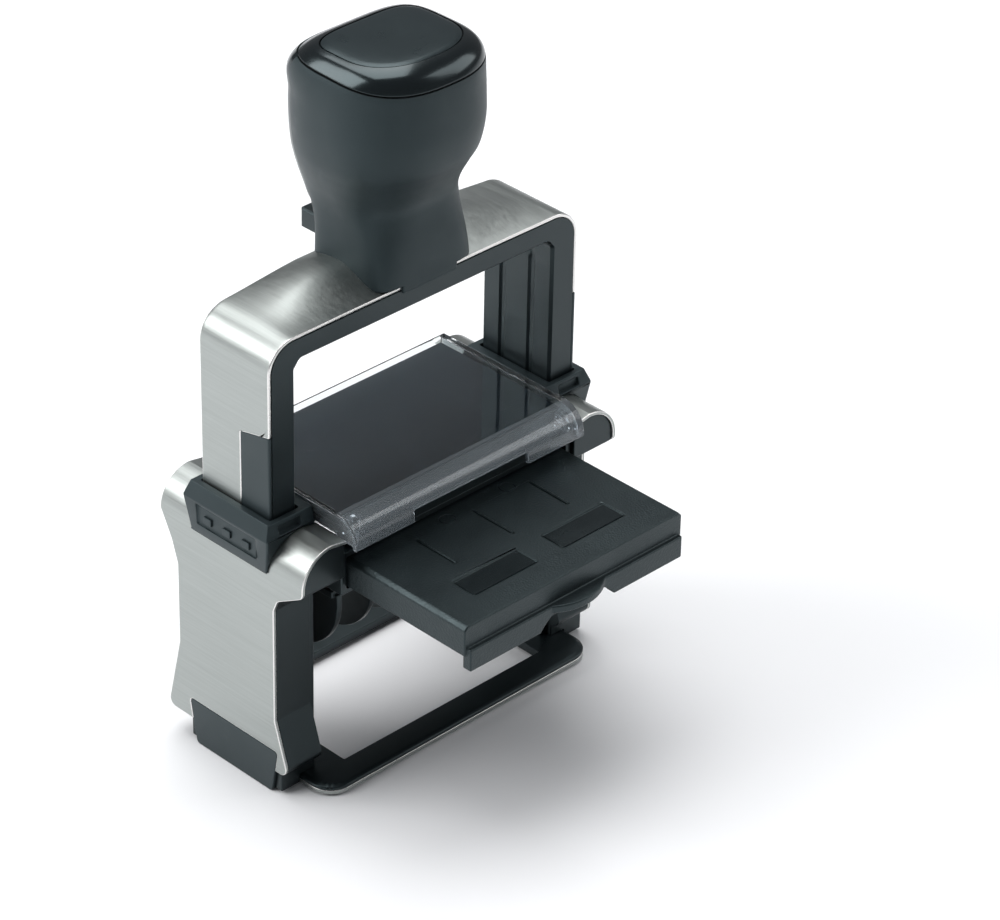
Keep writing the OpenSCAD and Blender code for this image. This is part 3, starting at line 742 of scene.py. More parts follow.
    @classmethod
    def smooth(cls, piece: bpy.types.Object, angle: float = 40.0) -> bpy.types.Object:
        """Shades a piece smoothly, with its wide faces kept flat.

        Args:
            piece: The piece.
            angle: Edges sharper than this stay sharp, in degrees.

        Returns:
            The same piece.
        """
        cls.take(piece)
        bpy.ops.object.shade_smooth_by_angle(angle=math.radians(angle))
        evening = piece.modifiers.new("Evening", "WEIGHTED_NORMAL")
        evening.keep_sharp = True
        bpy.ops.object.modifier_apply(modifier=evening.name)
        return piece

    @staticmethod
    def hand_over(
        piece: bpy.types.Object,
        body: str,
        slot: str,
        *materials: bpy.types.Material,
        stands_for: tuple[str, ...] = (),
    ) -> bpy.types.Object:
        """Dresses a piece and lets it ride on its body.

        Args:
            piece: The finished piece.
            body: Body that it moves with.
            slot: The record's material slot; not used.
            *materials: The piece's materials in slot order.
            stands_for: Parts that it is shown in place of.

        Returns:
            The same piece.
        """
        for index, material in enumerate(materials):
            if index < len(piece.data.materials):
                piece.data.materials[index] = material
            else:
                piece.data.materials.append(material)
        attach(piece, body)
        if stands_for:
            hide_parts(*stands_for)
        LOG.info("%s: %d faces, rides on %s", piece.name, len(piece.data.polygons), body)
        return piece


class Assembly:
    """Base of the sub-assemblies."""

    def __init__(self, finishes: Finishes) -> None:
        """Keeps the finishes that the pieces are dressed in."""
        self.finishes = finishes

    def recast(
        self,
        node: str,
        body: str,
        slot: str,
        material: bpy.types.Material,
        width: float,
        **options: float,
    ) -> bpy.types.Object:
        """Shows a part as a copy of itself with rounded edges.

        Args:
            node: Name of the part.
            body: Body that it moves with.
            slot: The record's material slot.
            material: Its finish.
            width: Width of the rounding in metres.
            **options: Further settings of the rounding.

        Returns:
            The new piece.
        """
        piece = Bench.rounded_cast(node, f"{node}_shell", (material,), width, **options)
        return Bench.hand_over(piece, body, slot, material, stands_for=(node,))

    def recast_steel(self, node: str, body: str, width: float) -> bpy.types.Object:
        """Shows a steel part with its cut edges painted bright, a painted highlight along them.

        Args:
            node: Name of the part.
            body: Body that it moves with.
            width: Width of the rounded edge that carries the painted highlight, in metres.

        Returns:
            The new piece.
        """
        # The second finish paints the roundings of the cut edges bright: a painted highlight.
        dress = (self.finishes.steel, self.finishes.painted_edge_highlight)
        piece = Bench.rounded_cast(node, f"{node}_sheet", dress, width, angle=38.0, edge_slot=1)
        return Bench.hand_over(piece, body, "brushed_steel", *dress, stands_for=(node,))


# -------------------------------------------------------------- sub-assemblies
class FootRing(Assembly):
    """The ring round the printing window, its steel trim and its feet."""

    def build(self) -> None:
        """Builds the ring's pieces."""
        self.recast("base_ring", "body", "black_plastic", self.finishes.frame_black, width=0.00025)
        self.recast_steel("ring_trim", "body", width=0.0001)
        self.recast("foot_pads", "body", "rubber_foot", self.finishes.rubber, width=0.0002)
        for side in Side:
            node = f"side_foot_{side.word}"
            self.recast(node, "body", "dark_plastic", self.finishes.collar_black, width=0.0003)


@dataclass
class ReliefPlan:
    """Plain relief on a collar's recessed panel, in metres.

    Attributes:
        bar_length: Length of each raised bar.
        bar_height: Height of each raised bar.
        proud: How far the bars stand out of the recess.
        recess: Depth of the panel under the collar's face.
        root: How far the bars reach into the panel.
        drop: Distance of the bars' middle under the collar's top.
        leans: Y places of the bars, as shares of the panel's half depth.
    """

    bar_length: float = 0.0026
    bar_height: float = 0.0018
    proud: float = 0.0004
    recess: float = 0.0007
    root: float = 0.0002
    drop: float = 0.0078
    leans: tuple[float, ...] = (-0.45, 0.0, 0.45)


class SideHousing(Assembly):
    """One side housing with its steel skin, collar and cam plate."""

    def __init__(self, finishes: Finishes, side: Side) -> None:
        """Keeps the half that it builds."""
        super().__init__(finishes)
        self.side = side
        self.relief = ReliefPlan()

    def build(self) -> None:
        """Builds the housing's pieces."""
        word = self.side.word
        # The side frame's recessed wall takes the darker black: painted shade.
        self.recast(f"side_frame_{word}", "body", "black_plastic", self.finishes.black_painted_shade, width=0.0003)
        self.recast_steel(f"side_plate_{word}", "body", width=0.00022)
        self.recast(f"collar_{word}", "body", "dark_plastic", self.finishes.collar_black, width=0.0004)
        self.recast(f"cam_plate_{word}", "body", "dark_plastic", self.finishes.frame_black, width=0.0002)
        self.build_relief()

    def build_relief(self) -> None:
        """Raises three rounded bars on the collar's outer panel."""
        low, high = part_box(f"collar_{self.side.word}")
        plan = self.relief
        outer = high.x if self.side is Side.RIGHT else low.x
        floor = outer - self.side.value * plan.recess
        middle_z = high.z - plan.drop
        half = (high.y - low.y) / 2
        for index, lean in enumerate(plan.leans):
            x0, x1 = sorted(floor + self.side.value * reach for reach in (-plan.root, plan.proud))
            y = lean * half
            bar = Bench.box(
                f"collar_relief_{self.side.word}_{index}",
                (x0, y - plan.bar_length / 2, middle_z - plan.bar_height / 2),
                (x1, y + plan.bar_length / 2, middle_z + plan.bar_height / 2),
            )
            Bench.soften(bar, width=0.00018, segments=3)
            Bench.hand_over(bar, "body", "dark_plastic", self.finishes.collar_black)


@dataclass
class RollPlan:
    """The roll along the front of the clear cover, and its end blocks, in metres.

    Attributes:
        depth: Depth of the frosted roll.
        ends: Outer and inner end of a block, counted inwards from the cover's side.
        front: Front and back of a block, counted from the cover's front.
        under: Foot and top of a block, counted down from the cover's top.
        facet: Width of a block's facets.
    """

    depth: float = 0.0062
    ends: tuple[float, float] = (0.0014, 0.0052)
    front: tuple[float, float] = (0.0015, 0.0066)
    under: tuple[float, float] = (0.0064, 0.0016)
    facet: float = 0.0014


class IndexBay(Assembly):
    """The pad housing, the index tray, its card and the clear cover."""

    ROLL = RollPlan()

    def build(self) -> None:
        """Builds the bay's pieces."""
        # The pad housing inside takes the darker black: painted shade.
        self.recast("pad_housing", "body", "black_plastic", self.finishes.black_painted_shade, width=0.0003)
        self.recast("index_tray", "body", "black_plastic", self.finishes.frame_black, width=0.0003)
        self.recast("index_card", "body", "card", self.finishes.card, width=0.00008)
        self.build_cover()
        for side in Side:
            self.build_end_block(side)

    def build_cover(self) -> None:
        """Builds the clear cover, its rolled front bar slightly frosted."""
        low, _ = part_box("index_window")
        dress = (self.finishes.clear, self.finishes.frosted)
        cover = Bench.rounded_cast("index_window", "index_window_shell", dress, 0.00035, segments=3)
        for face in cover.data.polygons:
            face.material_index = int(face.center.y < low.y + self.ROLL.depth)
        Bench.hand_over(cover, "window", "clear_cover", *dress, stands_for=("index_window",))

    def build_end_block(self, side: Side) -> None:
        """Fills an end of the cover's roll with a faceted clear block.

        Args:
            side: The end.
        """
        low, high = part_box("index_window")
        outer = high.x if side is Side.RIGHT else low.x
        x0, x1 = sorted(outer - side.value * reach for reach in self.ROLL.ends)
        (front, back), (foot, top) = self.ROLL.front, self.ROLL.under
        block = Bench.box(
            f"cover_end_block_{side.word}",
            (x0, low.y + front, high.z - foot),
            (x1, low.y + back, high.z - top),
        )
        Bench.take(block)
        bevel = block.modifiers.new("Facets", "BEVEL")
        bevel.width, bevel.segments = self.ROLL.facet, 1
        bpy.ops.object.modifier_apply(modifier=bevel.name)
        Bench.hand_over(block, "window", "clear_cover", self.finishes.clear)


@dataclass
class MarkPlan:
    """Plain fields and moulding rings on the cartridge's top, in metres.

    Attributes:
        field_x: X places of the fields.
        field_y: Distance of the fields' middle behind the cartridge's front.
        field_half: Half width and half depth of a field.
        field_under: Foot and top of a field, counted down from the cartridge's top.
        rings: X and Y places of the rings.
        ring_radius: Radius of a ring.
        ring_wire: Radius of its raised line.
        ring_under: Depth of the line's middle under the cartridge's top.
    """

    field_x: tuple[float, ...] = (-0.0140, 0.0140)
    field_y: float = 0.0155
    field_half: tuple[float, float] = (0.0097, 0.0032)
    field_under: tuple[float, float] = (0.0005, 0.0002)
    rings: tuple[tuple[float, float], ...] = ((-0.0070, -0.0260), (0.0125, -0.0256))
    ring_radius: float = 0.0019
    ring_wire: float = 0.00012
    ring_under: float = 0.00006


@dataclass
class FeltPlan:
    """The crowned felt, in metres.

    Attributes:
        steps: Faces along each side.
        crown: Height of its crown.
        taper: Share that its corners pull in.
        foot_gap: How much thinner it is than the part that it stands for.
    """

    steps: int = 24
    crown: float = 0.0004
    taper: float = 0.004
    foot_gap: float = 0.0012


class InkCartridge(Assembly):
    """The cartridge half pulled out, with its label fields and its felt."""

    MARKS = MarkPlan()
    FELT = FeltPlan()

    def build(self) -> None:
        """Builds the cartridge's pieces."""
        shell = self.finishes.cartridge
        self.recast("cartridge_case", "cartridge", "cartridge_plastic", shell, width=0.0004, segments=3)
        self.build_felt()
        self.build_marks()

    def build_marks(self) -> None:
        """Lays two plain dark fields and two moulding rings on the top."""
        low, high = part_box("cartridge_case")
        marks = self.MARKS
        (half_x, half_y), (foot, top) = marks.field_half, marks.field_under
        y = low.y + marks.field_y
        for index, x in enumerate(marks.field_x):
            plate = Bench.box(
                f"cartridge_field_{index}",
                (x - half_x, y - half_y, high.z - foot),
                (x + half_x, y + half_y, high.z - top),
            )
            Bench.soften(plate, width=0.0001)
            Bench.hand_over(plate, "cartridge", "cartridge_plastic", self.finishes.label)
        for index, (x, y) in enumerate(marks.rings):
            Bench.clear()
            bpy.ops.mesh.primitive_torus_add(
                major_radius=marks.ring_radius,
                minor_radius=marks.ring_wire,
                major_segments=48,
                minor_segments=8,
            )
            ring = bpy.context.object
            ring.name = ring.data.name = f"cartridge_ring_{index}"
            for point in ring.data.vertices:
                point.co += Vector((x, y, high.z - marks.ring_under))
            Bench.smooth(ring, 60)
            Bench.hand_over(ring, "cartridge", "cartridge_plastic", self.finishes.label)

    def build_felt(self) -> None:
        """Builds the crowned felt that inks the die."""
        low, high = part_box("ink_pad")
        plan = self.FELT
        middle, half = (low + high) / 2, (high - low) / 2
        shares = [i / plan.steps * 2 - 1 for i in range(plan.steps + 1)]
        rows: list[Row] = []
        for v in shares:
            row = []
            for u in shares:
                pull = 1 - plan.taper * (u * u + v * v)
                dome = plan.crown * (1 - u**4) * (1 - v**4)
                x, y = middle.x + half.x * u * pull, middle.y + half.y * v * pull
                row.append(Vector((x, y, low.z + plan.crown - dome)))
            rows.append(row)
        felt = Bench.loft("ink_felt", rows, closed=False, caps=False)
        wall = high.z - low.z - plan.foot_gap
        Bench.thicken(felt, wall, along=felt.data.polygons[0].normal.z >= 0)
        Bench.soften(felt, width=0.0004, segments=3)
        Bench.hand_over(felt, "cartridge", "ink_felt", self.finishes.ink_felt, stands_for=("ink_pad",))


class DieCarriage(Assembly):
    """The turning carriage with its plate, foam, die, pins and cranks.

    Attributes:
        SWELL: How far the foam's edge swells, in metres.
        AT_EDGE: Share of the way out beyond which a point is on the foam's edge.
    """

    SWELL = 0.0002
    AT_EDGE = 0.999

    def build(self) -> None:
        """Builds the carriage's pieces."""
        # The carriage inside takes the darker black: painted shade.
        self.recast("die_carriage", "carriage", "black_plastic", self.finishes.black_painted_shade, width=0.0003)
        self.recast("text_plate", "carriage", "dark_plastic", self.finishes.frame_black, width=0.0002)
        self.recast("rubber_die", "carriage", "die_rubber", self.finishes.die, width=0.00015)
        arm, pin = self.finishes.collar_black, self.finishes.plated
        for side in Side:
            self.recast(f"crank_{side.word}", "carriage", "dark_plastic", arm, width=0.0002)
            self.recast(f"pivot_pin_{side.word}", "carriage", "zinc_steel", pin, width=0.0002)
        self.build_foam()

    def build_foam(self) -> None:
        """Builds the foam between the plate and the die, its edge swelling a little."""
        low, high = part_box("foam_layer")
        foam = Bench.box("die_foam", tuple(low), tuple(high))
        Bench.take(foam)
        bpy.ops.object.mode_set(mode="EDIT")
        bpy.ops.mesh.select_all(action="SELECT")
        bpy.ops.mesh.subdivide(number_cuts=7)
        bpy.ops.object.mode_set(mode="OBJECT")
        middle, span = (low + high) / 2, (high - low) / 2
        for point in foam.data.vertices:
            level = (point.co.z - middle.z) / span.z
            for k in (0, 1):
                share = (point.co[k] - middle[k]) / span[k]
                if abs(share) > self.AT_EDGE:
                    point.co[k] += math.copysign(self.SWELL, share) * (1 - level * level)
        Bench.soften(foam, width=0.00012, segments=2)
        Bench.hand_over(foam, "carriage", "foam", self.finishes.foam, stands_for=("foam_layer",))


@dataclass
class ArchPlan:
    """Sizes of the bridge's arch, read from its parts, in metres.

    Attributes:
        half_width: Half width over the steel.
        half_depth: Half depth of legs and crown.
        inner_half: Half width of the opening.
        sheet_low: Lower end of the steel.
        leg_low: Lower end of the legs.
        opening_top: Top of the opening.
        edge_top: Top of the steel at its front edge.
        crest: Top of the steel at its ridge.
        corner: Outer corner radius.
        inner_corner: Corner radius of the opening.
        sheet: Thickness of the steel.
        flat_half: Half width of the level crest under the knob.
        gap: Clearance between the steel and the black frame.
        CROWN: Height of the crest over the opening.
        FRONT_EDGE: Height of the front edge's top over the opening.
        LEG_GAP: Clearance between the cam plates and the legs.
        LEG: Way along the outline where a leg ends, from its foot (0) to the middle (1).
        BEND: Way along the outline where the corner ends.
        RIDGE: Share of the depth, from the front, where the crown is highest.
    """

    CROWN = 0.0106
    FRONT_EDGE = 0.0064
    LEG_GAP = 0.0012
    LEG = 0.4
    BEND = 0.62
    RIDGE = 0.58

    half_width: float
    half_depth: float
    inner_half: float
    sheet_low: float
    leg_low: float
    opening_top: float
    edge_top: float
    crest: float
    corner: float = 0.0075
    inner_corner: float = 0.0025
    sheet: float = 0.00095
    flat_half: float = 0.019
    gap: float = 0.00005

    @classmethod
    def measured(cls) -> "ArchPlan":
        """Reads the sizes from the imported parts.

        Returns:
            The plan.
        """
        low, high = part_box("bridge_plate")
        core_low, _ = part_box("bridge_frame")
        _, cam_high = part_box("cam_plate_right")
        opening_top = high.z - cls.CROWN
        return cls(
            half_width=high.x,
            half_depth=high.y,
            inner_half=cam_high.x + cls.LEG_GAP,
            sheet_low=low.z,
            leg_low=core_low.z,
            opening_top=opening_top,
            edge_top=opening_top + cls.FRONT_EDGE,
            crest=high.z,
        )

    def outer(self, share: float, inset: float) -> tuple[float, float]:
        """Place on the outer arch outline at its front edge.

        Args:
            share: Way along the outline, from the left leg's foot (0) to the right one's (1).
            inset: Distance inwards from the steel's face.

        Returns:
            X and Z.
        """
        low = self.leg_low if inset > self.sheet / 2 else self.sheet_low
        half, top = self.half_width - inset, self.edge_top - inset
        return self.outline(share, half, low, top, self.corner - inset)

    def inner(self, share: float) -> tuple[float, float]:
        """Place on the opening's outline, level with the outer outline's share."""
        return self.outline(share, self.inner_half, self.leg_low, self.opening_top, self.inner_corner)

    @classmethod
    def outline(cls, share: float, half: float, low: float, top: float, radius: float) -> tuple[float, float]:
        """Place on an upside-down U with round corners.

        Args:
            share: Way along it, from the left leg's foot (0) to the right one's (1).
            half: Its half width.
            low: Height of its feet.
            top: Height of its top.
            radius: Radius of its corners.

        Returns:
            X and Z.
        """
        side = -1.0 if share < 0.5 else 1.0
        way = 1 - abs(2 * share - 1)
        if way < cls.LEG:
            return side * half, low + (top - radius - low) * way / cls.LEG
        if way < cls.BEND:
            turn = math.pi / 2 * (way - cls.LEG) / (cls.BEND - cls.LEG)
            return side * (half - radius + radius * math.cos(turn)), top - radius + radius * math.sin(turn)
        return side * (half - radius) * (1 - way) / (1 - cls.BEND), top

    def rise(self, x: float, y: float) -> float:
        """Extra height of the crown over its front edge.

        Args:
            x: Place across the bridge.
            y: Place from front to back.

        Returns:
            The extra height.
        """
        reach = self.half_width - self.corner * 0.6
        slope = clamped((reach - abs(x)) / (reach - self.flat_half))
        slope = eased(slope) * 0.35 + slope * 0.65
        depth = (y + self.half_depth) / (2 * self.half_depth)
        if depth < self.RIDGE:
            t = depth / self.RIDGE
            lift = eased(t) * 0.6 + math.sin(t * math.pi / 2) * 0.4
        else:
            t = (depth - self.RIDGE) / (1 - self.RIDGE)
            lift = 1 - 0.5 * t * t
        return (self.crest - self.edge_top) * slope * lift


class PressBridge(Assembly):
    """The press bridge: black frame, steel skin, leg inserts and return springs.

    Attributes:
        ALONG: Faces along the arch.
        ACROSS: Faces over the frame's depth.
        RIM: Size of the slope round the opening's rims, in metres.
        FLUTE: Middle, half floor, half mouth and depth of a flute in the legs' inner faces.
        FLUTE_END: Distance of the flutes' ends under the opening's top, and the length of their run-out.
        NOTCH_Y: Back of the notch in each leg's steel.
        NOTCH_DROP: Distance of the notch's top under the leg insert's top.
        NOTCH_LEAN: Fall of the notch's top towards the back.
        WIRE: Radius of the spring wire.
        TURNS: Turns of a spring.
    """

    ALONG = 180
    ACROSS = 26
    RIM = 0.0007
    FLUTE = (0.0047, 0.0005, 0.0011, 0.0005)
    FLUTE_END = (0.004, 0.002)
    NOTCH_Y = -0.0019
    NOTCH_DROP = 0.0020
    NOTCH_LEAN = 0.22
    WIRE = 0.0004
    TURNS = 14

    def __init__(self, finishes: Finishes) -> None:
        """Reads the arch's sizes."""
        super().__init__(finishes)
        self.plan = ArchPlan.measured()

    def build(self) -> None:
        """Builds the bridge's pieces and its springs."""
        self.build_core()
        self.build_sheet()
        insert = self.finishes.collar_black
        for side in Side:
            self.recast(f"leg_insert_{side.word}", "bridge", "dark_plastic", insert, width=0.0003)
            self.build_spring(side)
            self.recast(f"spring_rod_{side.word}", "body", "zinc_steel", self.finishes.plated, width=0.0001)
        self.recast("frame_screws", "body", "zinc_steel", self.finishes.plated, width=0.0001)
        self.recast("handle_screw", "bridge", "zinc_steel", self.finishes.plated, width=0.0002)

    def surface(self, share: float, y: float, inset: float) -> Vector:
        """Point on the outer arch surface, or below it by an inset."""
        x, z = self.plan.outer(share, inset)
        radius_top = self.plan.edge_top - self.plan.corner
        lifted = clamped((z - radius_top) / (self.plan.corner - inset))
        return Vector((x, y, z + self.plan.rise(x, y) * lifted))

    def inner_steps(self) -> list[tuple[float, float]]:
        """Steps over the opening's face, from its back rim to its front rim.

        Returns:
            The Y of each step, and how deep it lies in the face.
        """
        middle, floor, mouth, depth = self.FLUTE
        back = self.plan.half_depth
        steps = [(back, self.RIM), (back - self.RIM, 0.0)]
        steps += [(middle + mouth, 0.0), (middle + floor, depth)]
        steps += [(middle - floor, depth), (middle - mouth, 0.0)]
        return steps + [(-y, sink) for y, sink in reversed(steps)]

    def build_core(self) -> None:
        """Builds the black frame with its sloping rims and fluted inner faces."""
        plan, inset = self.plan, self.plan.sheet + self.plan.gap
        flute_top, run_out = plan.opening_top - self.FLUTE_END[0], self.FLUTE_END[1]
        depths = [plan.half_depth * (2 * j / self.ACROSS - 1) for j in range(self.ACROSS + 1)]
        nearly = 0.0002
        rows: list[Row] = []
        for i in range(self.ALONG + 1):
            share = i / self.ALONG
            loop = [self.surface(share, y, inset) for y in depths]
            x, z = plan.inner(share)
            on_leg = abs(x) > plan.inner_half - nearly
            outward = math.copysign(1.0, x) if on_leg else 0.0
            fluting = clamped((flute_top - z) / run_out)
            for y, sink in self.inner_steps():
                at_rim = abs(y) == plan.half_depth
                aside = outward * sink * (1.0 if at_rim else fluting)
                up = sink if at_rim and not on_leg else 0.0
                loop.append(Vector((x + aside, y, z + up)))
            loop.append(loop[0].copy())
            rows.append(loop)
        core = Bench.loft("bridge_core", rows)
        Bench.smooth(core, 34)
        finish = self.finishes.frame_black
        Bench.hand_over(core, "bridge", "black_plastic", finish, stands_for=("bridge_frame",))

    def build_sheet(self) -> None:
        """Builds the steel skin, with its cut edges painted bright as a painted highlight, and a notch in
        each leg's front.
        """
        plan, ahead, behind = self.plan, 9, 14
        _, insert_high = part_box("leg_insert_left")
        notch_y, notch_z = self.NOTCH_Y, insert_high.z - self.NOTCH_DROP
        depths = [-plan.half_depth + (notch_y + plan.half_depth) * j / ahead for j in range(ahead + 1)]
        depths += [notch_y + (plan.half_depth - notch_y) * j / behind for j in range(1, behind + 1)]
        rows = [[self.surface(i / self.ALONG, y, 0.0) for y in depths] for i in range(self.ALONG + 1)]
        sheet = Bench.loft("bridge_sheet", rows, closed=False, caps=False)
        Bench.take(sheet)
        bpy.ops.object.mode_set(mode="EDIT")
        bpy.ops.mesh.select_all(action="SELECT")
        bpy.ops.mesh.bisect(plane_co=(0, notch_y, notch_z), plane_no=(0, self.NOTCH_LEAN, 1.0))
        bpy.ops.mesh.select_all(action="DESELECT")
        bpy.ops.object.mode_set(mode="OBJECT")
        for face in sheet.data.polygons:
            y, z = face.center.yz
            face.select = y < notch_y and z < notch_z - self.NOTCH_LEAN * (y - notch_y)
        bpy.ops.object.mode_set(mode="EDIT")
        bpy.ops.mesh.select_mode(type="FACE")
        bpy.ops.mesh.delete(type="FACE")
        Bench.face_outwards()
        inside_z = plan.opening_top / 2
        outward = sum(
            face.normal.x * face.center.x + face.normal.z * (face.center.z - inside_z)
            for face in sheet.data.polygons
        )
        sheet.data.materials.append(self.finishes.steel)
        # The cut rim and the roundings take the painted edge highlight.
        sheet.data.materials.append(self.finishes.painted_edge_highlight)
        Bench.thicken(sheet, plan.sheet - plan.gap, along=outward <= 0, even=True, rim_slot=1)
        if outward < 0:
            bpy.ops.object.mode_set(mode="EDIT")
            Bench.face_outwards()
        Bench.soften(sheet, width=0.00030, segments=3, angle=50.0, edge_slot=1)
        dress = (self.finishes.steel, self.finishes.painted_edge_highlight)
        Bench.hand_over(sheet, "bridge", "brushed_steel", *dress, stands_for=("bridge_plate",))

    def build_spring(self, side: Side) -> None:
        """Winds a return spring.

        Args:
            side: The leg that it stands in.
        """
        node = f"spring_{side.word}"
        low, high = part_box(node)
        wire, turns = self.WIRE, self.TURNS
        middle = (low + high) / 2
        coil_r = (high.x - low.x) / 2 - wire
        Bench.clear()
        bpy.ops.mesh.primitive_circle_add(vertices=8, radius=wire, fill_type="NOTHING")
        coil = bpy.context.object
        coil.name = coil.data.name = f"return_spring_{side.word}"
        for point in coil.data.vertices:
            point.co = Vector((coil_r + point.co.x, 0.0, wire + point.co.y))
        winding = coil.modifiers.new("Winding", "SCREW")
        winding.angle = math.tau * turns
        winding.screw_offset = high.z - low.z - 2 * wire
        winding.steps = winding.render_steps = 18 * turns
        winding.use_merge_vertices = False
        bpy.ops.object.modifier_apply(modifier=winding.name)
        for point in coil.data.vertices:
            point.co += Vector((middle.x, middle.y, low.z))
        bpy.ops.object.mode_set(mode="EDIT")
        Bench.fill_ends()
        Bench.face_outwards()
        Bench.smooth(coil, 60)
        Bench.hand_over(coil, "body", "zinc_steel", self.finishes.plated, stands_for=(node,))
        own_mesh(coil)


@dataclass(frozen=True)
class Station:
    """One level of the knob, in metres from the crown's edge.

    Attributes:
        z: Height.
        half_x: Half width.
        half_y: Half depth.
        shift: Distance of its middle behind the stamp's middle.
        power: Superellipse power; larger is squarer.
    """

    z: float
    half_x: float
    half_y: float
    shift: float
    power: float

    def values(self) -> tuple[float, ...]:
        """The station as plain numbers."""
        return self.z, self.half_x, self.half_y, self.shift, self.power


@dataclass
class KnobPlan:
    """Shape of the knob, in metres from the crown's edge.

    Attributes:
        stations: Levels from its skirt to its top.
        seam_back: Height of the seam between grip and cap at the back.
        seam_front: Its height in front.
        rim_height: Height of the rim where the cap's side turns into its top.
        groove: Width of the groove round the inset, as a share of the inset's size.
        inset_x: Half width of the inset.
        inset_front: Reach of the inset's round front.
        inset_back: Reach of its straight back.
        spine_foot: Height of the spine's lower end.
        spine_turn: Half the angle that the spine spans, in radians.
        spine_proud: How far the spine's middle stands out over its sunken edge.
        spine_sunk: How far its edge lies under the grip's skin.
        spine_wall: Thickness of the spine.
    """

    stations: tuple[Station, ...] = (
        Station(0.0005, 0.0152, 0.0124, 0.0003, 6.0),
        Station(0.0030, 0.0151, 0.0125, 0.0004, 5.6),
        Station(0.0070, 0.0148, 0.0129, 0.0008, 4.8),
        Station(0.0110, 0.0146, 0.0135, 0.0016, 4.0),
        Station(0.0150, 0.0149, 0.0144, 0.0028, 3.3),
        Station(0.0185, 0.0157, 0.0154, 0.0038, 2.85),
        Station(0.0220, 0.0170, 0.0168, 0.0039, 2.6),
        Station(0.0260, 0.0186, 0.0183, 0.0032, 2.5),
        Station(0.0300, 0.0198, 0.0195, 0.0023, 2.5),
        Station(0.0360, 0.0205, 0.0202, 0.0018, 2.5),
        Station(0.0420, 0.0205, 0.0202, 0.0018, 2.5),
        Station(0.0470, 0.0202, 0.0196, 0.0014, 2.5),
        Station(0.0505, 0.0195, 0.0182, 0.0004, 2.6),
        Station(0.0530, 0.0181, 0.0162, -0.0004, 2.8),
        Station(0.0546, 0.0163, 0.0141, -0.0007, 2.9),
        Station(0.0555, 0.0135, 0.0118, -0.0007, 2.8),
        Station(0.0559, 0.0095, 0.0085, -0.0005, 2.6),
        Station(0.0560, 0.0050, 0.0045, -0.0002, 2.5),
    )
    seam_back: float = 0.0518
    seam_front: float = 0.0500
    rim_height: float = 0.0549
    groove: float = 0.025
    inset_x: float = 0.0150
    inset_front: float = 0.0126
    inset_back: float = 0.0108
    spine_foot: float = 0.0146
    spine_turn: float = 1.02
    spine_proud: float = 0.0004
    spine_sunk: float = 0.0001
    spine_wall: float = 0.001

    def at(self, level: float) -> tuple[float, ...]:
        """Values between two stations, by a smooth curve through them.

        Args:
            level: Station number, with a fraction.

        Returns:
            Height, half width, half depth, shift and power.
        """
        last = len(self.stations) - 1
        level = max(0.0, min(float(last), level))
        i = min(int(level), last - 1)
        t = level - i
        picks = [self.stations[max(0, min(last, i + k))].values() for k in (-1, 0, 1, 2)]
        blended = []
        for p0, p1, p2, p3 in zip(*picks):
            square = (2 * p0 - 5 * p1 + 4 * p2 - p3) * t * t
            cube = (3 * p1 - p0 - 3 * p2 + p3) * t**3
            blended.append(0.5 * (2 * p1 + (p2 - p0) * t + square + cube))
        return tuple(blended)

    def point(self, level: float, turn: float, inset: float = 0.0) -> Vector:
        """Point of the knob's skin.

        Args:
            level: Station number, with a fraction.
            turn: Angle round the knob, from +X towards +Y.
            inset: Distance inwards.

        Returns:
            The point, with its height counted from the crown's edge.
        """
        z, half_x, half_y, shift, power = self.at(level)
        c, s = math.cos(turn), math.sin(turn)
        power += self.squaring(z) if s > 0 else 0.0
        return Vector(
            (
                math.copysign(abs(c) ** (2 / power), c) * (half_x - inset),
                math.copysign(abs(s) ** (2 / power), s) * (half_y - inset) + shift,
                z,
            )
        )

    @staticmethod
    def squaring(height: float) -> float:
        """Extra superellipse power of the back half near the top."""
        start, span, most = 0.042, 0.011, 1.2
        return most * eased(clamped((height - start) / span))

    def level_at(self, height: float) -> float:
        """Station number whose height is the one asked for."""
        low, high = 0.0, float(len(self.stations) - 1)
        for _ in range(40):
            middle = (low + high) / 2
            if self.at(middle)[0] < height:
                low = middle
            else:
                high = middle
        return (low + high) / 2

    def seam(self, turn: float) -> float:
        """Height of the seam between grip and cap: low in front, rising to the back.

        Args:
            turn: Angle round the knob.

        Returns:
            The height over the crown's edge.
        """
        front = (1 - math.sin(turn)) / 2
        return self.seam_back + (self.seam_front - self.seam_back) * front**1.5

    def seam_level(self, turn: float, above: float = 0.0) -> float:
        """Station number at the seam, or a height above it."""
        return self.level_at(self.seam(turn) + above)


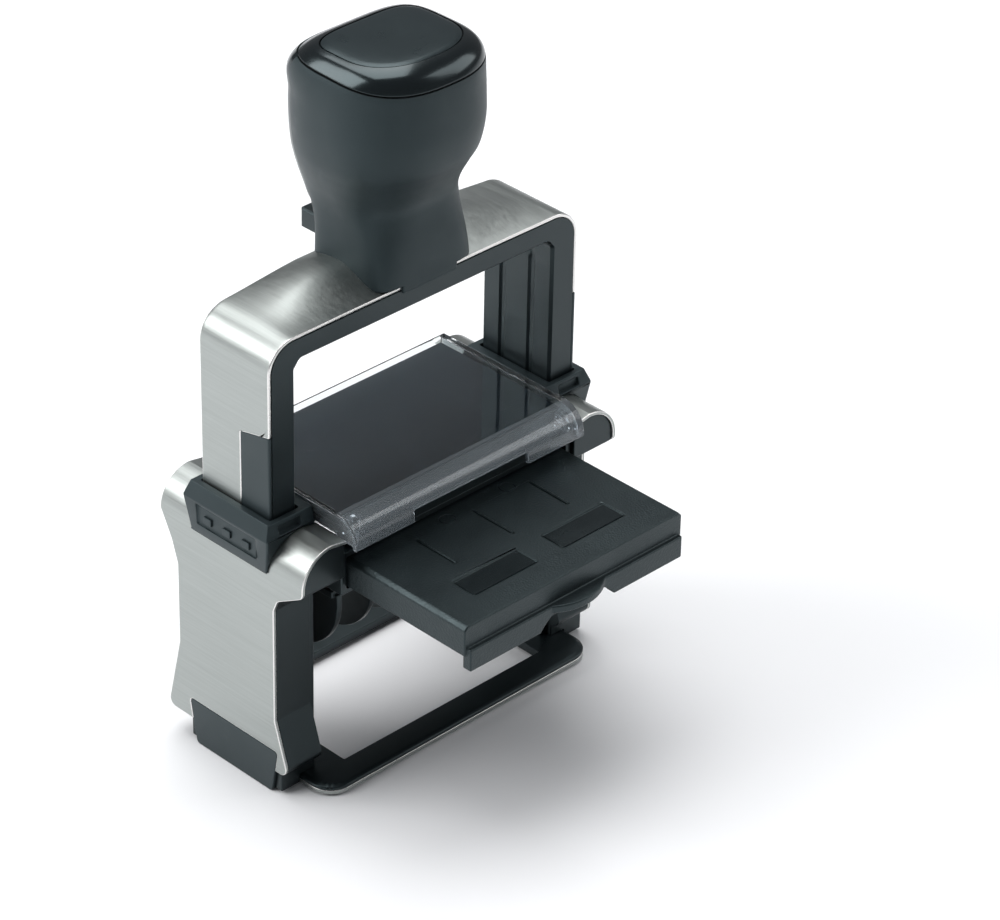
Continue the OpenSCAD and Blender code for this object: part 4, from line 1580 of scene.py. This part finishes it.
class Knob(Assembly):
    """The knob: soft grip, gloss cap and spine, satin inset and lock button.

    Attributes:
        AROUND: Faces round the knob.
        TONGUE: Two corners of the tongue under the grip's front, from the crown's edge.
    """

    AROUND = 112
    TONGUE = ((-0.0080, -0.0120, -0.0016), (0.0088, -0.0090, 0.0012))

    def __init__(self, finishes: Finishes) -> None:
        """Places the knob on the crown."""
        super().__init__(finishes)
        self.plan = KnobPlan()
        _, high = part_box("cap_bezel")
        self.base = high.z - self.plan.stations[-1].z

    def place(self, point: Vector) -> Vector:
        """Moves a knob point to its height on the stamp."""
        return point + Vector((0, 0, self.base))

    def ring(self, shape: Callable[[float], Vector]) -> Row:
        """One loop of points round the knob.

        Args:
            shape: Gives a point of the knob for an angle round it.

        Returns:
            The loop at its height on the stamp, ending on its first point.
        """
        turns = (math.tau * (k % self.AROUND) / self.AROUND for k in range(self.AROUND + 1))
        return [self.place(shape(turn)) for turn in turns]

    def on_cap(self, place: Vector, drop: float = 0.0) -> Vector:
        """The place moved to the cap's skin, or a drop below it."""
        return Vector((place.x, place.y, self.cap_height(place.x, place.y) - drop))

    def build(self) -> None:
        """Builds the knob's pieces."""
        self.build_grip()
        self.build_cap()
        self.build_inset()
        self.build_spine()
        button = self.finishes.frame_black
        self.recast("lock_button", "lock", "dark_plastic", button, width=0.0007, segments=3)
        # The core inside the knob takes the darker black: painted shade.
        self.recast("handle_core", "bridge", "dark_plastic", self.finishes.black_painted_shade, width=0.0002)

    def build_grip(self) -> None:
        """Builds the soft grip from its skirt up to the seam."""
        plan, steps = self.plan, 64
        rows = [
            self.ring(lambda turn: plan.point(plan.seam_level(turn) * i / steps, turn))
            for i in range(steps + 1)
        ]
        for drop, inset in ((0.0, 0.000225), (0.0004, 0.00054), (0.0010, 0.004)):
            down = Vector((0, 0, drop))
            rows.append(self.ring(lambda turn: plan.point(plan.seam_level(turn), turn, inset) - down))
        grip = Bench.loft("grip_shell", rows)
        Bench.smooth(grip, 60)
        Bench.hand_over(grip, "bridge", "soft_grip", self.finishes.grip, stands_for=("handle_grip",))
        self.build_tongue()

    def build_tongue(self) -> None:
        """Builds the flat tongue in front of the grip's skirt."""
        low, high = (self.place(Vector(corner)) for corner in self.TONGUE)
        tongue = Bench.box("grip_tongue", tuple(low), tuple(high))
        Bench.soften(tongue, width=0.0004, segments=3)
        Bench.hand_over(tongue, "bridge", "soft_grip", self.finishes.grip)

    def build_cap(self) -> None:
        """Builds the gloss cap between the seam and the inset."""
        plan, steps = self.plan, 40
        rim_level = plan.level_at(plan.rim_height)

        def flank(turn: float, share: float) -> Vector:
            """Point of the cap's side, from the seam (0) to its rim (1)."""
            start = plan.seam_level(turn, above=0.0005)
            return plan.point(start + (rim_level - start) * share, turn)

        def shoulder(turn: float, share: float) -> Vector:
            """Point of the cap's top, from its rim (0) to the groove (1)."""
            groove = self.inset_edge(turn, 1.0 + plan.groove)
            return self.on_cap(plan.point(rim_level, turn).lerp(groove, share))

        rows = [
            self.ring(lambda turn: plan.point(plan.seam_level(turn, above), turn, inset))
            for above, inset in ((0.0006, 0.004), (0.0003, 0.0006), (0.0003, 0.0002))
        ]
        rows += [self.ring(lambda turn: flank(turn, i / steps)) for i in range(steps + 1)]
        rows += [self.ring(lambda turn: shoulder(turn, share)) for share in (0.25, 0.5, 0.75, 0.9)]
        rows += [
            self.ring(lambda turn: self.on_cap(self.inset_edge(turn, 1.0 + plan.groove * width), drop))
            for width, drop in ((1.0, 0.0), (1.0, 0.0001), (0.8, 0.0009), (-2.0, 0.0009))
        ]
        cap = Bench.loft("cap_shell", rows)
        Bench.smooth(cap, 60)
        Bench.hand_over(cap, "bridge", "gloss_black", self.finishes.gloss, stands_for=("cap_bezel",))

    def inset_edge(self, turn: float, share: float) -> Vector:
        """Place on the inset as seen from above: round in front, straight at the back.

        Args:
            turn: Angle round the inset.
            share: Share of the way from its middle to its edge.

        Returns:
            X and Y with no height.
        """
        c, s = math.cos(turn), math.sin(turn)
        power = 2.5 if s < 0 else 5.0
        x = math.copysign(abs(c) ** (2 / power), c) * self.plan.inset_x
        reach = self.plan.inset_front if s < 0 else self.plan.inset_back
        y = math.copysign(abs(s) ** (2 / power), s) * reach
        return Vector((x * share, y * share, 0.0))

    def cap_height(self, x: float, y: float) -> float:
        """Height of the cap's skin over a place.

        Args:
            x: Place across.
            y: Place from front to back.

        Returns:
            The height over the crown's edge.
        """
        low, high = self.plan.level_at(self.plan.seam_front), float(len(self.plan.stations) - 1)
        for _ in range(30):
            middle = (low + high) / 2
            z, half_x, half_y, shift, power = self.plan.at(middle)
            power += self.plan.squaring(z) if y > shift else 0.0
            inside = (abs(x) / half_x) ** power + (abs(y - shift) / half_y) ** power
            if inside > 1:
                high = middle
            else:
                low = middle
        return self.plan.at((low + high) / 2)[0]

    def build_inset(self) -> None:
        """Builds the satin inset on top, in its thin groove."""
        sunk, wall = 0.00015, 0.0006
        steps = [(share, 0.0) for share in (0.02, 0.15, 0.3, 0.45, 0.6, 0.72, 0.82, 0.9, 0.96)]
        steps += [(0.99, sunk), (1.0, sunk), (1.0, sunk + wall)]
        rows = [
            self.ring(lambda turn: self.on_cap(self.inset_edge(turn, share), drop)) for share, drop in steps
        ]
        inset = Bench.loft("cap_inset", rows)
        Bench.smooth(inset, 50)
        Bench.hand_over(inset, "bridge", "dark_plastic", self.finishes.insert, stands_for=("cap_insert",))

    def build_spine(self) -> None:
        """Builds the gloss strip down the knob's back."""
        plan, steps, across = self.plan, 40, 28
        low, high = plan.spine_foot, plan.seam_back + 0.0004
        rows: list[Row] = []
        for i in range(steps + 1):
            level = plan.level_at(low + (high - low) * i / steps)
            row = []
            for j in range(across + 1):
                share = 2 * j / across - 1
                turn = math.pi / 2 - share * plan.spine_turn
                rim = max(abs(share), 1 - 2 * i / steps)
                fall = max(0.0, (rim - 0.9) / 0.1) ** 2
                proud = plan.spine_proud * (1 - fall) - plan.spine_sunk
                row.append(self.place(plan.point(level, turn, -proud)))
            rows.append(row)
        spine = Bench.loft("spine_strip", rows, closed=False, caps=False)
        middle = spine.data.polygons[len(spine.data.polygons) // 2]
        Bench.thicken(spine, plan.spine_wall, along=middle.normal.y <= 0)
        Bench.smooth(spine, 50)
        Bench.hand_over(spine, "bridge", "gloss_black", self.finishes.gloss, stands_for=("handle_spine",))


# ---------------------------------------------------------------------- studio
@dataclass
class Studio:
    """Pale floor, soft lights and the camera.

    Attributes:
        azimuth: Camera's angle round the stamp, in degrees.
        elevation: Camera's angle over the floor, in degrees.
        roll: Camera's lean, in degrees.
        distance: Camera's distance from its target, in metres.
        target: What the camera looks at.
        focal: Focal length on a 36 mm sensor, in millimetres.
        aim: What the softboxes face.
        softboxes: Place, side length in metres and power in watts of each softbox.
    """

    azimuth: float = -45.205
    elevation: float = 32.281
    roll: float = 1.27
    distance: float = 1.00725
    target: tuple[float, float, float] = (0.0358, 0.0, 0.0478)
    focal: float = 151.2
    aim: tuple[float, float, float] = (0.0, 0.0, 0.08)
    softboxes: tuple[tuple[tuple[float, float, float], float, float], ...] = (
        ((-1.4, 1.0, 1.2), 1.3, 30.0),
        ((1.4, -0.9, 1.0), 1.0, 8.0),
        ((0.2, 0.5, 1.9), 1.6, 36.0),
    )

    def camera(self) -> None:
        """Makes the camera."""
        a, e, r = (math.radians(v) for v in (self.azimuth, self.elevation, self.roll))
        back = Vector((math.sin(a) * math.cos(e), -math.cos(a) * math.cos(e), math.sin(e)))
        level = Vector((math.cos(a), math.sin(a), 0))
        right = level * math.cos(r) + back.cross(level) * math.sin(r)
        up = back.cross(right)
        data = bpy.data.cameras.new("StudioCamera")
        data.lens, data.sensor_width = self.focal, 36.0
        data.clip_start, data.clip_end = 0.05, 20.0
        camera = bpy.data.objects.new("StudioCamera", data)
        bpy.context.scene.collection.objects.link(camera)
        place = Vector(self.target) + back * self.distance
        turned = [(right[k], up[k], back[k], place[k]) for k in range(3)]
        camera.matrix_world = Matrix([*turned, (0, 0, 0, 1)])
        bpy.context.scene.camera = camera

    def floor(self) -> None:
        """Lays the pale floor."""
        Bench.clear()
        bpy.ops.mesh.primitive_plane_add(size=12.0)
        floor = bpy.context.object
        floor.name = "studio_floor"
        material = bpy.data.materials.new("PaleFloor")
        material.use_nodes = True
        shader = material.node_tree.nodes["Principled BSDF"]
        shader.inputs["Base Color"].default_value = (0.90, 0.905, 0.92, 1)
        shader.inputs["Roughness"].default_value = 0.6
        floor.data.materials.append(material)

    def light(self) -> None:
        """Hangs the softboxes and sets the surroundings' glow."""
        world = bpy.data.worlds.new("StudioWorld")
        world.use_nodes = True
        glow = world.node_tree.nodes["Background"]
        glow.inputs["Color"].default_value = (0.93, 0.96, 1.0, 1)
        glow.inputs["Strength"].default_value = 0.2
        bpy.context.scene.world = world
        for index, (place, size, power) in enumerate(self.softboxes):
            data = bpy.data.lights.new(f"Softbox{index}", "AREA")
            data.shape, data.size, data.energy = "SQUARE", size, power
            lamp = bpy.data.objects.new(f"Softbox{index}", data)
            bpy.context.scene.collection.objects.link(lamp)
            lamp.location = place
            lamp.rotation_mode = "QUATERNION"
            lamp.rotation_quaternion = (Vector(self.aim) - Vector(place)).to_track_quat("-Z", "Y")
        bpy.context.scene.view_settings.view_transform = "Standard"

    def build(self) -> None:
        """Sets up the whole studio."""
        self.camera()
        self.floor()
        self.light()


def main() -> None:
    """Builds every sub-assembly in order and reports each piece."""
    logging.basicConfig(level=logging.INFO, format="%(message)s")
    finishes = Finishes()
    Studio().build()
    assemblies = [
        FootRing(finishes),
        SideHousing(finishes, Side.LEFT),
        SideHousing(finishes, Side.RIGHT),
        IndexBay(finishes),
        InkCartridge(finishes),
        DieCarriage(finishes),
        PressBridge(finishes),
        Knob(finishes),
    ]
    for assembly in assemblies:
        LOG.info("Building %s", type(assembly).__name__)
        assembly.build()
    Bench.clear()


if __name__ == "__main__":
    main()
